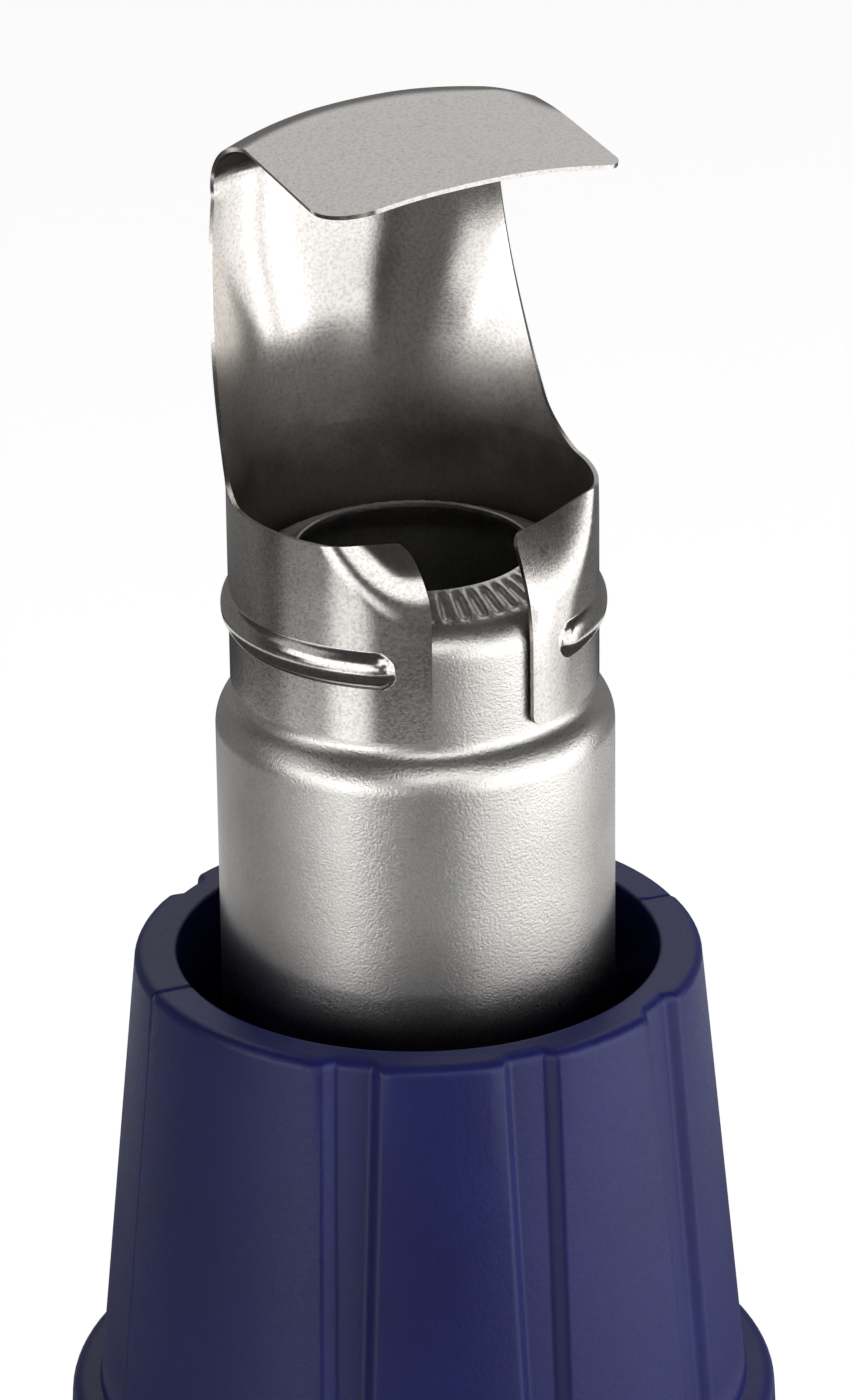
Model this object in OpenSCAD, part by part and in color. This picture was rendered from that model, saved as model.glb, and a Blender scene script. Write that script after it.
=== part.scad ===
// Inline hot-air embossing tool that stands upright on its rear end, with a clip-on reflector.
// The origin is the centre of the resting face, and +Z runs up the barrel to the nozzle.
// The housing parts in the XZ plane, the reflector opens towards -Y, the switch is on the -X side.

/* [Housing] */
// Height of the housing's front rim above the resting face
rim_z = 194; // [190:1:198]
// Outer radius of the front rim
rim_r = 23.8; // [23.4:0.1:24.4]
// Radius of the opening inside the rim
rim_bore_r = 20.2; // [19.8:0.1:20.6]
// Length of the fluted cone from the rim down to the ring
cone_len = 40.4; // [38:0.2:42]
// Radius of the cone where it meets the ring
cone_foot_r = 27.7; // [27.2:0.1:28.2]
// Largest radius of the ring below the cone
ring_r = 30.9; // [30.4:0.1:31.4]
// Radius of the waist that the hand holds
waist_r = 26; // [25.6:0.1:26.6]
// Radius of the rear end
base_r = 31; // [30.4:0.1:32]
// Wall thickness of the mouldings
wall = 2.4; // [2.2:0.1:2.6]
// Width of a channel at the rim
channel_top_w = 5.05; // [4.6:0.05:5.6]
// Width of a channel at the ring
channel_foot_w = 4.05; // [3.6:0.05:4.6]
// Depth of a channel
channel_depth = 0.92; // [0.7:0.02:1.1]
// Width of each sloping side of a channel
channel_side_w = 0.95; // [0.7:0.05:1.2]

/* [Nozzle tube] */
// Outer radius of the nozzle tube
tube_r = 16.5; // [16.2:0.1:16.8]
// Thickness of the tube's sheet
tube_wall = 0.6; // [0.5:0.1:0.7]
// Radius of the neck that nozzles clip on to
neck_r = 14.8; // [14.6:0.1:15]
// Radius of the air outlet
mouth_r = 9.6; // [9:0.1:10.4]
// Height of the outlet above the housing's rim
mouth_rise = 36; // [35:0.5:38]

/* [Reflector] */
// Thickness of the reflector's sheet
sheet_t = 0.37; // [0.34:0.01:0.5]
// Gap between the collar and the neck
collar_play = 0.03; // [0.02:0.01:0.06]
// Width of the gap in the collar at the front
gap_w = 8.5; // [7:0.1:9]
// Height of the hood's top above the rim
hood_rise = 72.8; // [72:0.1:74]
// Half width of the hood
hood_half_w = 12.5; // [12:0.1:13]
// Reach of the hood past the nozzle's axis
hood_reach = 14.5; // [12:0.1:15]
// How much higher the hood's +X side is, per mm across, because it was bent by hand
hood_twist = 0.06; // [0:0.01:0.08]
// How far the hood falls from the bend to its front edge
hood_fall = 0.7; // [0:0.1:1.2]

/* [Drive] */
// Radius of the motor's can
motor_r = 12.2; // [11.8:0.1:12.6]
// Number of blades on the fan
fan_blades = 9; // [7:1:11]
// Number of guide vanes behind the fan
guide_vanes = 7; // [5:1:8]

/* [Switch] */
// Travel of the switch's slider, off to the second heat
switch_travel = 10; // [8:1:10]

/* [Hidden] */
$fn = 64;

// Colours
navy = "#262a52";
steel = "#b9b6b0";
bright_steel = "#cfcdc9";
dark_plastic = "#2b2c30";
mica = "#c9bfa4";
brass = "#b08d45";

// Heights up the housing
cap_top_z = 22;
shell_foot_z = 22.4;
flare_z0 = 30;
waist_z0 = 64;
waist_z1 = 116;
ring_z0 = 138;
ring_z1 = rim_z - cone_len;
ring_top_r = ring_r - 0.7;
ring_edge_r = 1.4;
rim_edge_r = 1;
seam_gap = 0.04;
fit_gap = 0.05;

// Heights up the air path, from the motor to the outlet
motor_z0 = 60;
motor_len = 31;
motor_z1 = motor_z0 + motor_len;
fan_z0 = 98;
fan_h = 12;
guide_z0 = 116;
guide_z1 = 127;
flange_z1 = guide_z1 + 1;
clamp_ring_z1 = flange_z1 + 2;
heater_base_z0 = clamp_ring_z1 + 1;
heater_base_h = 3;
core_z0 = heater_base_z0 + heater_base_h;
core_z1 = rim_z + 4;
mouth_z = rim_z + mouth_rise;
duct_r = 19.4;
duct_wall = 1.4;
flange_r = 19.8;

// Places of the screws, switch and cord inlet
shell_screw_places = [[19.5, 50], [22.5, 146]];
boss_r = 3.4;
screw_r = 1.5;
screw_head_r = 2.8;
head_depth = 4.5;
switch_z = 80;
slider_half_w = 6;
slider_len = 18;
stem_half = 3;
stem_half_w = 2;
slider_rest_z = switch_z - switch_travel / 2;
slot_z0 = slider_rest_z - stem_half - 0.4;
slot_len = 2 * stem_half + switch_travel + 0.8;
bed_x = waist_r - 1.2;
switch_body_x = 20.4;
switch_body_half = 14;
gland_z = 36;
gland_r = 5.4;
gland_x = 24;
clamp_x = 17;
clamp_screw_pitch = 13;

function arc(cx, cz, r, a0, a1, n) =
    [for (i = [0:n]) let (a = a0 + (a1 - a0) * i / n) [cx + r * cos(a), cz + r * sin(a)]];

// A flowing S curve between two radii: its radius at a height, and as points of a profile
function flare_r(r0, z0, r1, z1, z) = r0 + (r1 - r0) * (1 - cos(180 * (z - z0) / (z1 - z0))) / 2;
function flare(r0, z0, r1, z1, n) =
    [for (i = [0:n]) let (z = z0 + (z1 - z0) * i / n) [flare_r(r0, z0, r1, z1, z), z]];

function reversed(list) = [for (i = [len(list) - 1:-1:0]) list[i]];

// Outer radius of the housing below the ring
function grip_r(z) =
    z < flare_z0 ? base_r
    : z < waist_z0 ? flare_r(base_r, flare_z0, waist_r, waist_z0, z)
    : z < waist_z1 ? waist_r
    : flare_r(waist_r, waist_z1, ring_r, ring_z0, z);

module ring(r_out, r_in, z0, z1) {
    translate([0, 0, z0]) difference() {
        cylinder(r = r_out, h = z1 - z0);
        translate([0, 0, -1]) cylinder(r = r_in, h = z1 - z0 + 2);
    }
}

module around(n, start = 0) {
    for (i = [0:n - 1]) rotate([0, 0, start + 360 * i / n]) children();
}

// Cuts the corners of a path, keeping its ends
function rounded(path) = concat([path[0]],
    [for (i = [0:len(path) - 2]) let (a = path[i], b = path[i + 1])
        each [a * 0.75 + b * 0.25, a * 0.25 + b * 0.75]],
    [path[len(path) - 1]]);

function unit(v) = v / norm(v);

// An insulated wire along a path of hand-chosen points
module wire(path, r) {
    sides = 8;
    line = rounded(rounded(path));
    last = len(line) - 1;
    points = [for (i = [0:last]) let (t = unit(line[min(i + 1, last)] - line[max(i - 1, 0)]),
        u = unit(cross(t, [0.31, 0.95, 0.05])), v = cross(t, u))
        for (j = [0:sides - 1]) let (a = 360 * j / sides) line[i] + r * (cos(a) * u + sin(a) * v)];
    polyhedron(points, concat(
        [[for (j = [0:sides - 1]) j]],
        [[for (j = [sides - 1:-1:0]) last * sides + j]],
        [for (i = [0:last - 1]) for (j = [0:sides - 1])
            let (p = i * sides + j, q = i * sides + (j + 1) % sides)
            each [[p, p + sides, q + sides], [p, q + sides, q]]]));
}

// REFLECTOR
// A bright sheet bent round the neck as an open collar, drawn up at the back into a wall
// and folded forwards over the outlet.
collar_in_r = neck_r + collar_play;
collar_out_r = collar_in_r + sheet_t;
collar_z0 = rim_z + 24.9;
collar_z1 = rim_z + 41.4;
collar_reach = 40;
// The upper corner of each front tab is folded inwards over the lip, about a diagonal.
// Each fold is [side, angle round from the front, lean, distance from the axis at the top].
folds = [[-1, -18.4, 22.3, 12.51], [1, 27.6, 22.7, 12.08]];
fold_h = 9;
tab_corner_r = 1.4;
bead_z = rim_z + 31.2;
bead_half_w = 1.5;
bead_proud = 0.65;
bead_end_deg = 34;
bead_arc_r = (bead_half_w * bead_half_w + bead_proud * bead_proud) / (2 * bead_proud);
bead_arc_deg = asin(bead_half_w / bead_arc_r);
// The wall above the collar
wall_edge_deg = 76;
wall_top_z = rim_z + 64.2;
wall_top_sag = 3.8;
wall_fillet_r = 3.3;
wall_steps = 9;
bend_steps = 8;
hood_steps = 9;
across_steps = 24;
sheet_mid_r = collar_in_r + sheet_t / 2;
// The faceted stretches are this much thinner on each side, so that they rise from inside the collar's wall
sheet_inset = 0.03;
sheet_half_t = sheet_t / 2 - sheet_inset;
bend_f = -3.5;
bend_rise = rim_z + hood_rise - sheet_t / 2 - wall_top_z;
hood_sag = 1.3;
hood_corner_r = 2.8;

// Each station is [forward, height, tilt of the outward normal, half width, sagitta]
function wall_station(t) = let (z = collar_z1 - 0.2 + (wall_top_z - collar_z1 + 0.2) * t * t,
    k = (z - collar_z1) / (wall_top_z - collar_z1),
    foot_w = sheet_mid_r * sin(wall_edge_deg),
    foot_sag = sheet_mid_r * (1 - cos(wall_edge_deg)),
    rest = min(1, 1 - k))
    [-sheet_mid_r, z, 0, hood_half_w + (foot_w - hood_half_w) * rest,
        wall_top_sag + (foot_sag - wall_top_sag) * rest * rest];

function bend_station(a) = [bend_f - (sheet_mid_r + bend_f) * cos(a), wall_top_z + bend_rise * sin(a), a,
    hood_half_w, wall_top_sag + (hood_sag - wall_top_sag) * a / 90];

function hood_station(t) = let (f = bend_f + (hood_reach - bend_f) * sin(90 * t),
    into = max(0, f - hood_reach + hood_corner_r))
    [f, wall_top_z + bend_rise - hood_fall * sin(90 * t), 90,
        hood_half_w - hood_corner_r + sqrt(hood_corner_r * hood_corner_r - into * into), hood_sag];

stations = concat([for (i = [0:wall_steps]) wall_station(i / wall_steps)],
    [for (i = [1:bend_steps]) bend_station(90 * i / bend_steps)],
    [for (i = [1:hood_steps]) hood_station(i / hood_steps)]);

// Extra arc length where the wall's edge sweeps out into the collar's top edge
function edge_fillet(z) = let (d = min(wall_fillet_r, max(0, z - collar_z1)))
    wall_fillet_r - sqrt(wall_fillet_r * wall_fillet_r - pow(wall_fillet_r - d, 2));

// A point of the sheet: station s, place v across from -1 to 1, offset outwards from mid-sheet
function sheet_point(s, v, out) = let (w = s[3], sag = s[4], rho = (w * w + sag * sag) / (2 * sag),
    half = atan2(w, rho - sag) + edge_fillet(s[1]) / rho * 180 / PI,
    a = half * v, depth = -rho + (rho + out) * cos(a), x = (rho + out) * sin(a))
    [x, -(s[0] - depth * cos(s[2])), s[1] + depth * sin(s[2]) + hood_twist * x * pow(sin(s[2]), 2)];

// A closed sheet from a grid of points on its outer and inner sides
module sheet(outer, inner) {
    rows = len(outer);
    cols = len(outer[0]);
    side = rows * cols;
    points = concat([for (row = outer) each row], [for (row = inner) each row]);
    skins = [for (i = [0:rows - 2]) for (j = [0:cols - 2])
        let (p = i * cols + j, u = p + cols, a = side + p, b = side + u)
        each [[p, u + 1, u], [p, p + 1, u + 1], [a, b, b + 1], [a, b + 1, a + 1]]];
    ends = [for (j = [0:cols - 2]) let (p = j, u = (rows - 1) * cols + j, a = side + p, b = side + u)
        each [[p + 1, p, a], [p + 1, a, a + 1], [u, u + 1, b + 1], [u, b + 1, b]]];
    edges = [for (i = [0:rows - 2]) let (p = i * cols, u = p + cols - 1, a = side + p, b = side + u)
        each [[p, p + cols, a + cols], [p, a + cols, a], [u + cols, u, b], [u + cols, b, b + cols]]];
    polyhedron(points, concat(skins, ends, edges));
}

function sheet_side(out) =
    [for (s = stations) [for (j = [0:across_steps]) sheet_point(s, 2 * j / across_steps - 1, out)]];

module hood_sheet() {
    sheet(sheet_side(sheet_half_t), sheet_side(-sheet_half_t));
}

module bead_profile(grow) {
    translate([collar_out_r + bead_proud - bead_arc_r, bead_z])
        polygon(arc(0, 0, bead_arc_r + grow, -bead_arc_deg, bead_arc_deg, 8));
}

module bead(grow) {
    rotate([0, 0, bead_end_deg - 90]) rotate_extrude(angle = 360 - 2 * bead_end_deg) bead_profile(grow);
}

module at_fold(fold) {
    translate([0, 0, collar_z1]) rotate([0, 0, fold[1] - 90]) translate([fold[3], 0, 0])
        rotate([0, -fold[2], 0]) children();
}

// The folded corner is flat, and ends where it meets the collar's outside
module tab_flap(fold) {
    intersection() {
        at_fold(fold) translate([-sheet_t / 2, -collar_reach / 2, -fold_h])
            cube([sheet_t, collar_reach, 2 * fold_h]);
        translate([0, 0, collar_z1 - fold_h]) cylinder(r = collar_out_r, h = fold_h);
        translate([fold[0] > 0 ? 0 : -collar_reach, -collar_reach, collar_z0])
            cube([collar_reach, collar_reach, collar_z1 - collar_z0 + 1]);
    }
}

// The gap between the tabs, with their upper corners rounded
module front_gap() {
    translate([-gap_w / 2, -collar_reach, collar_z0 - 1])
        cube([gap_w, collar_reach, collar_z1 - collar_z0 + 2]);
    for (side = [-1, 1]) translate([side * (gap_w / 2 + tab_corner_r), 0, collar_z1 - tab_corner_r])
        rotate([90, 0, 0]) linear_extrude(collar_reach) difference() {
            translate([side > 0 ? -tab_corner_r - 1 : 0, 0]) square(tab_corner_r + 1);
            circle(r = tab_corner_r);
        }
}

module reflector_nozzle() {
    color(bright_steel) {
        difference() {
            union() {
                difference() {
                    ring(collar_out_r, collar_in_r, collar_z0, collar_z1);
                    for (fold = folds) at_fold(fold) translate([sheet_t / 2, -collar_reach / 2, -fold_h])
                        cube([collar_reach, collar_reach, 2 * fold_h]);
                }
                difference() {
                    bead(0);
                    translate([0, 0, collar_z0]) cylinder(r = collar_in_r, h = collar_z1 - collar_z0);
                }
                for (fold = folds) tab_flap(fold);
            }
            bead(-sheet_t);
            front_gap();
        }
        hood_sheet();
    }
}

// NOZZLE TUBE
// Blasted stainless tube with a drawn neck, a lip turned in at the outlet and a flange at the foot.
shoulder_z = rim_z + 20.5;
shoulder_arc_r = 3.87;
shoulder_fillet_r = 1.6;
shoulder_turn = acos(1 - (tube_r - neck_r) / (shoulder_arc_r + shoulder_fillet_r));
shoulder_rise = (shoulder_arc_r + shoulder_fillet_r) * sin(shoulder_turn);
// The lip turns in over a rounded edge and slopes up to the outlet
lip_slope = 25;
lip_edge_r = 3.2;
lip_turn = 90 - lip_slope;
lip_foot_r = neck_r - lip_edge_r * (1 - cos(lip_turn));
lip_edge_z = mouth_z - (lip_foot_r - mouth_r) * tan(lip_slope) - lip_edge_r * sin(lip_turn);

function tube_outline(in) = concat(
    arc(tube_r - shoulder_arc_r, shoulder_z, shoulder_arc_r - in, 0, shoulder_turn, 6),
    arc(neck_r + shoulder_fillet_r, shoulder_z + shoulder_rise, shoulder_fillet_r + in,
        180 + shoulder_turn, 180, 4),
    arc(neck_r - lip_edge_r, lip_edge_z, lip_edge_r - in, 0, lip_turn, 7),
    [[mouth_r, mouth_z - in / cos(lip_slope)]]);

module nozzle_tube() {
    color(steel) difference() {
        union() {
            rotate_extrude() polygon(concat([[tube_r, guide_z1]], tube_outline(0),
                reversed(tube_outline(tube_wall)), [[tube_r - tube_wall, guide_z1]]));
            ring(flange_r, tube_r - tube_wall, guide_z1, flange_z1);
        }
        tube_screw_holes(guide_z1 - 1, flange_z1 + 1);
    }
}

tube_screw_count = 3;
tube_screw_r = 1;
tube_screw_pitch_r = 18.3;
tube_screw_start = 30;

module tube_screw_holes(z0, z1) {
    around(tube_screw_count, tube_screw_start) translate([tube_screw_pitch_r, 0, z0])
        cylinder(r = tube_screw_r, h = z1 - z0);
}

module tube_clamp_ring() {
    color(steel) difference() {
        ring(duct_r + duct_wall, tube_r + 0.1, flange_z1, clamp_ring_z1);
        tube_screw_holes(flange_z1 - 1, clamp_ring_z1 + 1);
    }
}

module tube_screws() {
    color(steel) around(tube_screw_count, tube_screw_start) translate([tube_screw_pitch_r, 0, guide_z1 - 6]) {
        cylinder(r = tube_screw_r, h = clamp_ring_z1 - guide_z1 + 6);
        translate([0, 0, clamp_ring_z1 - guide_z1 + 6]) cylinder(r = 1.6, h = 1.2);
    }
}

// HEATER
// Three mica boards crossed into a star carry the resistance wire, inside a wrap of mica.
core_r = 12.4;
board_t = 1;
coil_wire_r = 0.5;
coil_turns = 14;
coil_turn_rings = 12;
coil_r = core_r + coil_wire_r + 0.3;
coil_z0 = core_z0 + 4;
coil_pitch = 3.9;
terminal_r = 0.9;
terminal_pitch_r = 9;
terminal_count = 3;
terminal_start = 30;
air_hole_r = 2.6;

module mica_sleeve() {
    color(mica) ring(tube_r - tube_wall - 0.1, tube_r - tube_wall - 0.5, core_z0, shoulder_z - 4);
}

module heater_core() {
    color(mica) intersection() {
        for (a = [0, 60, 120]) rotate([0, 0, a])
            translate([-core_r, -board_t / 2, core_z0]) cube([2 * core_r, board_t, core_z1 - core_z0]);
        translate([0, 0, core_z0]) cylinder(r = core_r, h = core_z1 - core_z0);
    }
}

// The wire runs straight from board edge to board edge, so its path is a six-sided helix
function coil_path(i) = let (a = 360 * i / coil_turn_rings, r = i % 2 == 0 ? coil_r : coil_r * cos(30))
    [r * cos(a), r * sin(a), coil_z0 + coil_pitch * i / coil_turn_rings];

coil_rings = coil_turns * coil_turn_rings;
coil_sides = 6;
coil_points = [for (i = [0:coil_rings]) let (p = coil_path(i), a = 360 * i / coil_turn_rings)
    for (j = [0:coil_sides - 1]) let (b = 360 * j / coil_sides)
        p + coil_wire_r * [cos(b) * cos(a), cos(b) * sin(a), sin(b)]];
// Least gap between the wire and itself, from one turn to the next, on the path's own points
coil_gap = min([for (i = [0:coil_rings - coil_turn_rings + 1]) for (k = [-2:2])
    let (j = i + coil_turn_rings + k) if (j <= coil_rings && j > i + coil_turn_rings / 2)
        norm(coil_path(i) - coil_path(j)) - 2 * coil_wire_r]);
echo(least_gap_between_coil_turns_mm = coil_gap);

module heater_coil() {
    color("#8d8780") polyhedron(coil_points, concat(
        [[for (j = [0:coil_sides - 1]) j]],
        [[for (j = [coil_sides - 1:-1:0]) coil_rings * coil_sides + j]],
        [for (i = [0:coil_rings - 1]) for (j = [0:coil_sides - 1])
            let (p = i * coil_sides + j, q = i * coil_sides + (j + 1) % coil_sides)
            each [[p, p + coil_sides, q + coil_sides], [p, q + coil_sides, q]]]));
}

module heater_base() {
    color("#d8d0bf") difference() {
        translate([0, 0, heater_base_z0]) cylinder(r = tube_r - tube_wall - 0.05, h = heater_base_h);
        around(terminal_count, terminal_start) translate([terminal_pitch_r, 0, heater_base_z0 - 1])
            cylinder(r = terminal_r, h = heater_base_h + 2);
        around(6) translate([terminal_pitch_r + 2, 0, heater_base_z0 - 1])
            cylinder(r = air_hole_r, h = heater_base_h + 2);
        translate([0, 0, heater_base_z0 - 1]) cylinder(r = 4, h = heater_base_h + 2);
    }
}

module heater_terminals() {
    color(brass) around(terminal_count, terminal_start) translate([terminal_pitch_r, 0, heater_base_z0 - 3])
        cylinder(r = terminal_r, h = heater_base_h + 5);
}

module thermal_cutout() {
    color(bright_steel) rotate([0, 0, 90]) translate([6.5, 0, core_z0]) cylinder(r = 1.9, h = 8);
}

// AIR PATH
module air_guide() {
    hub_r = 7;
    vane_deg = 18;
    color(dark_plastic) {
        difference() {
            ring(duct_r + duct_wall, tube_r - tube_wall, guide_z0, guide_z1);
            tube_screw_holes(guide_z1 - 6, guide_z1 + 1);
            lead_holes();
        }
        translate([0, 0, guide_z0]) cylinder(r = hub_r, h = guide_z1 - guide_z0 - 2);
        around(guide_vanes, 180) intersection() {
            ring(tube_r - tube_wall + 0.2, hub_r - 0.5, guide_z0, guide_z1 - 2);
            translate([0, 0, guide_z0 + 4]) rotate([vane_deg, 0, 0]) translate([0, -0.6, -10])
                cube([tube_r, 1.2, 20]);
        }
    }
}

module fan_wheel() {
    hub_r = 5;
    blade_r = duct_r - 0.6;
    blade_deg = 38;
    color("#3b3d42") {
        difference() {
            translate([0, 0, fan_z0]) cylinder(r = hub_r, h = fan_h);
            translate([0, 0, fan_z0 - 1]) cylinder(r = shaft_r, h = fan_h - 1);
        }
        around(fan_blades) intersection() {
            ring(blade_r, hub_r - 0.5, fan_z0 + 1, fan_z0 + fan_h - 1);
            translate([0, 0, fan_z0 + fan_h / 2]) rotate([blade_deg, 0, 0]) translate([0, -0.5, -fan_h])
                cube([blade_r + 1, 1, 2 * fan_h]);
        }
    }
}

// The shroud holds the motor's front end on four spokes and rings the fan
module motor_shroud() {
    color(dark_plastic) {
        difference() {
            ring(duct_r + duct_wall, duct_r, motor_z1 - 7, guide_z0);
            translate([-duct_r - 3, -8, motor_z1 - 8]) cube([9, 16, 12]);
        }
        ring(motor_r + 1.6, motor_r + fit_gap, motor_z1 - 8, motor_z1 - 1);
        around(4, 45) translate([motor_r + 1, -0.8, motor_z1 - 7]) cube([duct_r - motor_r - 0.6, 1.6, 6]);
    }
}

// MOTOR
shaft_r = 1.15;
bush_r = 3.2;
bush_h = 2.6;
end_cap_z0 = motor_z0 - 3;
armature_r = 8.4;

module motor_can() {
    color("#a7a8aa") {
        difference() {
            ring(motor_r, motor_r - 1, motor_z0, motor_z1);
            around(2, 90) translate([motor_r - 3, -3, motor_z0 + 6]) cube([6, 6, 3]);
        }
        ring(motor_r, bush_r, motor_z1 - 1, motor_z1);
        ring(bush_r + 0.8, bush_r, motor_z1, motor_z1 + bush_h - 1);
    }
}

module motor_magnets() {
    inner_r = armature_r + 0.6;
    color("#3a3a3c") around(2, -60) translate([0, 0, motor_z0 + 8]) rotate_extrude(angle = 120)
        translate([inner_r, 0]) square([motor_r - 1 - fit_gap - inner_r, 18]);
}

module armature() {
    slots = 5;
    color("#8c5a34") difference() {
        ring(armature_r, shaft_r, motor_z0 + 8, motor_z0 + 25);
        around(slots) translate([armature_r - 2.5, -0.9, motor_z0 + 7]) cube([4, 1.8, 19]);
    }
}

module commutator() {
    color(brass) difference() {
        ring(3.4, shaft_r, motor_z0 + 2.2, motor_z0 + 7);
        around(5, 36) translate([3, -0.2, motor_z0 + 2]) cube([1, 0.4, 6]);
    }
}

module motor_shaft() {
    z0 = end_cap_z0 + 0.4;
    color(steel) translate([0, 0, z0]) cylinder(r = shaft_r, h = fan_z0 + fan_h - 2 - z0);
}

module motor_bushes() {
    play = 0.03;
    color(brass) {
        ring(bush_r, shaft_r + play, motor_z1 - 1, motor_z1 + bush_h - 1);
        ring(bush_r, shaft_r + play, motor_z0 - 2, motor_z0 + 0.6);
    }
}

module motor_end_cap() {
    color(dark_plastic) difference() {
        translate([0, 0, end_cap_z0]) cylinder(r = motor_r, h = motor_z0 - end_cap_z0);
        translate([0, 0, motor_z0 - 2]) cylinder(r = bush_r, h = 3);
        translate([0, 0, end_cap_z0 - 1]) cylinder(r = shaft_r + 0.3, h = 4);
        brush_places() translate([-1, -1.5, -5]) cube([2, 3, 10]);
    }
}

module brush_places() {
    around(2) translate([5.6, 0, motor_z0 - 2]) children();
}

module motor_brushes() {
    color(brass) brush_places() translate([-1, -1.5, -4]) {
        cube([2, 3, 6]);
        translate([-1.1, 0.5, 6]) cube([2.1, 2, 3]);
    }
}

// HOUSING
shell_outer = concat([[base_r, shell_foot_z]],
    flare(base_r, flare_z0, waist_r, waist_z0, 10),
    flare(waist_r, waist_z1, ring_r, ring_z0, 8),
    arc(ring_top_r - ring_edge_r, ring_z1 - ring_edge_r, ring_edge_r, 0, 90, 5),
    [[cone_foot_r, ring_z1]],
    arc(rim_r - rim_edge_r, rim_z - rim_edge_r, rim_edge_r, 0, 90, 5));
shell_inner = concat([[rim_bore_r + 0.3, rim_z], [rim_bore_r, rim_z - 0.3], [rim_bore_r, rim_z - 5],
    [cone_foot_r - 3.2, ring_z1 - 2.4], [ring_r - wall - 0.7, ring_z1 - 5]],
    flare(ring_r - wall, ring_z0, waist_r - wall, waist_z1, 8),
    flare(waist_r - wall, waist_z0, base_r - wall, flare_z0, 10),
    [[base_r - wall, shell_foot_z]]);

// One channel: a trapezoid trough that follows the cone and narrows towards the ring
module channel_cutter() {
    over = 1.5;
    top = channel_depth + over;
    floor_half = channel_foot_w / 2 - channel_side_w;
    top_half = floor_half + channel_side_w * top / channel_depth;
    slope = atan((cone_foot_r - rim_r) / cone_len);
    widening = atan((channel_top_w - channel_foot_w) / 2 / cone_len);
    translate([cone_foot_r - channel_depth, 0, ring_z1]) rotate([0, -slope, 0])
        intersection_for(side = [-1, 1]) rotate([-side * widening, 0, 0]) linear_extrude(cone_len + 2)
            polygon([[0, -5 * side], [0, floor_half * side], [top, top_half * side], [top, -5 * side]]);
}

// Where a boss or screw meets the outside of the housing
function boss_reach(x, z) = sqrt(pow((z > ring_z0 ? ring_top_r : grip_r(z)), 2) - x * x);

module at_screws() {
    for (p = shell_screw_places) for (side = [-1, 1])
        translate([side * p[0], 0, p[1]]) rotate([-90, 0, 0]) children();
}

// Half of the housing on the +Y side, without screw holes
module shell_half() {
    difference() {
        union() {
            rotate_extrude(angle = 180) polygon(concat(shell_outer, shell_inner));
            intersection() {
                union() {
                    for (p = shell_screw_places) for (side = [-1, 1]) translate([side * p[0], 0, p[1]])
                        rotate([-90, 0, 0]) cylinder(r = boss_r, h = boss_reach(p[0], p[1]) - 1);
                    duct_ribs();
                    tube_ribs();
                    board_rails();
                }
                rotate_extrude(angle = 180) polygon(concat(shell_outer, [[0, rim_z], [0, shell_foot_z]]));
            }
        }
        for (a = [54, 90, 126]) rotate([0, 0, a]) channel_cutter();
        slider_bed();
        translate([base_r - 8, 0, gland_z]) rotate([0, 90, 0]) cylinder(r = gland_r + fit_gap, h = 12);
        translate([-base_r - 5, -10, 0]) cube([2 * base_r + 10, 10 + seam_gap, rim_z + 5]);
    }
}

// Two rings of rib hold the duct, with a gap on the switch side
module duct_ribs() {
    rib_t = 1.6;
    for (z = [motor_z1 - 3, guide_z0 + 3])
        rotate([0, 0, 4]) translate([0, 0, z]) rotate_extrude(angle = 144)
            translate([duct_r + duct_wall + fit_gap, 0]) square([wall + 1.6, rib_t]);
}

// Fins that centre the nozzle tube in the cone, ending well below the rim
module tube_ribs() {
    fin_t = 1.8;
    fin_z0 = rim_z - 30;
    fin_z1 = rim_z - 8;
    for (a = [12, 90, 168]) rotate([0, 0, a]) translate([tube_r, -fin_t / 2, fin_z0])
        cube([6, fin_t, fin_z1 - fin_z0]);
}

module board_rails() {
    for (x = [board_x - 1.4, board_x + board_thick])
        translate([x, board_half_w - 1.5, board_z0 + 3]) cube([1.4, 12, 20]);
}

module slider_bed() {
    bed_half_w = slider_half_w + 0.8;
    bed_len = slider_len + switch_travel + 3;
    translate([-waist_r - 6, -bed_half_w, switch_z - bed_len / 2])
        cube([waist_r - bed_x + 6, 2 * bed_half_w, bed_len]);
    translate([-waist_r - 1, -stem_half_w - 0.3, slot_z0]) cube([8, 2 * stem_half_w + 0.6, slot_len]);
}

module front_shell() {
    color(navy) mirror([0, 1, 0]) difference() {
        shell_half();
        at_screws() translate([0, 0, -1]) cylinder(r = screw_r, h = 13);
    }
}

module back_shell() {
    color(navy) difference() {
        union() {
            shell_half();
            intersection() {
                clamp_screw_places() cylinder(r = 3, h = base_r);
                rotate_extrude(angle = 180) polygon(concat([[base_r - 1, shell_foot_z]],
                    flare(base_r - 1, flare_z0, waist_r - 1, waist_z0, 10),
                    [[0, waist_z0], [0, shell_foot_z]]));
            }
        }
        at_screws() translate([0, 0, -1]) cylinder(r = screw_r + 0.1, h = 40);
        for (p = shell_screw_places) for (side = [-1, 1])
            translate([side * p[0], boss_reach(p[0], p[1]) - head_depth, p[1]]) rotate([-90, 0, 0])
                cylinder(r = screw_head_r + 0.3, h = 12);
        clamp_screw_places() translate([0, 0, -1]) cylinder(r = 1.2, h = 8);
    }
}

module shell_screws() {
    shank = 10;
    color(steel) for (p = shell_screw_places) for (side = [-1, 1])
        let (head_y = boss_reach(p[0], p[1]) - head_depth)
        translate([side * p[0], -shank, p[1]]) rotate([-90, 0, 0]) {
            cylinder(r = screw_r, h = shank + head_y + 0.5);
            translate([0, 0, shank + head_y]) cylinder(r = screw_head_r, h = 2.2);
        }
}

// REAR END
cap_slots = 26;
cap_slot_w = 2.6;
foot_out_r = 27.5;
foot_in_r = 21.5;
cap_bottom_z = 1;
cap_edge_r = 3;
spigot_z = cap_top_z + 3;

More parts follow.
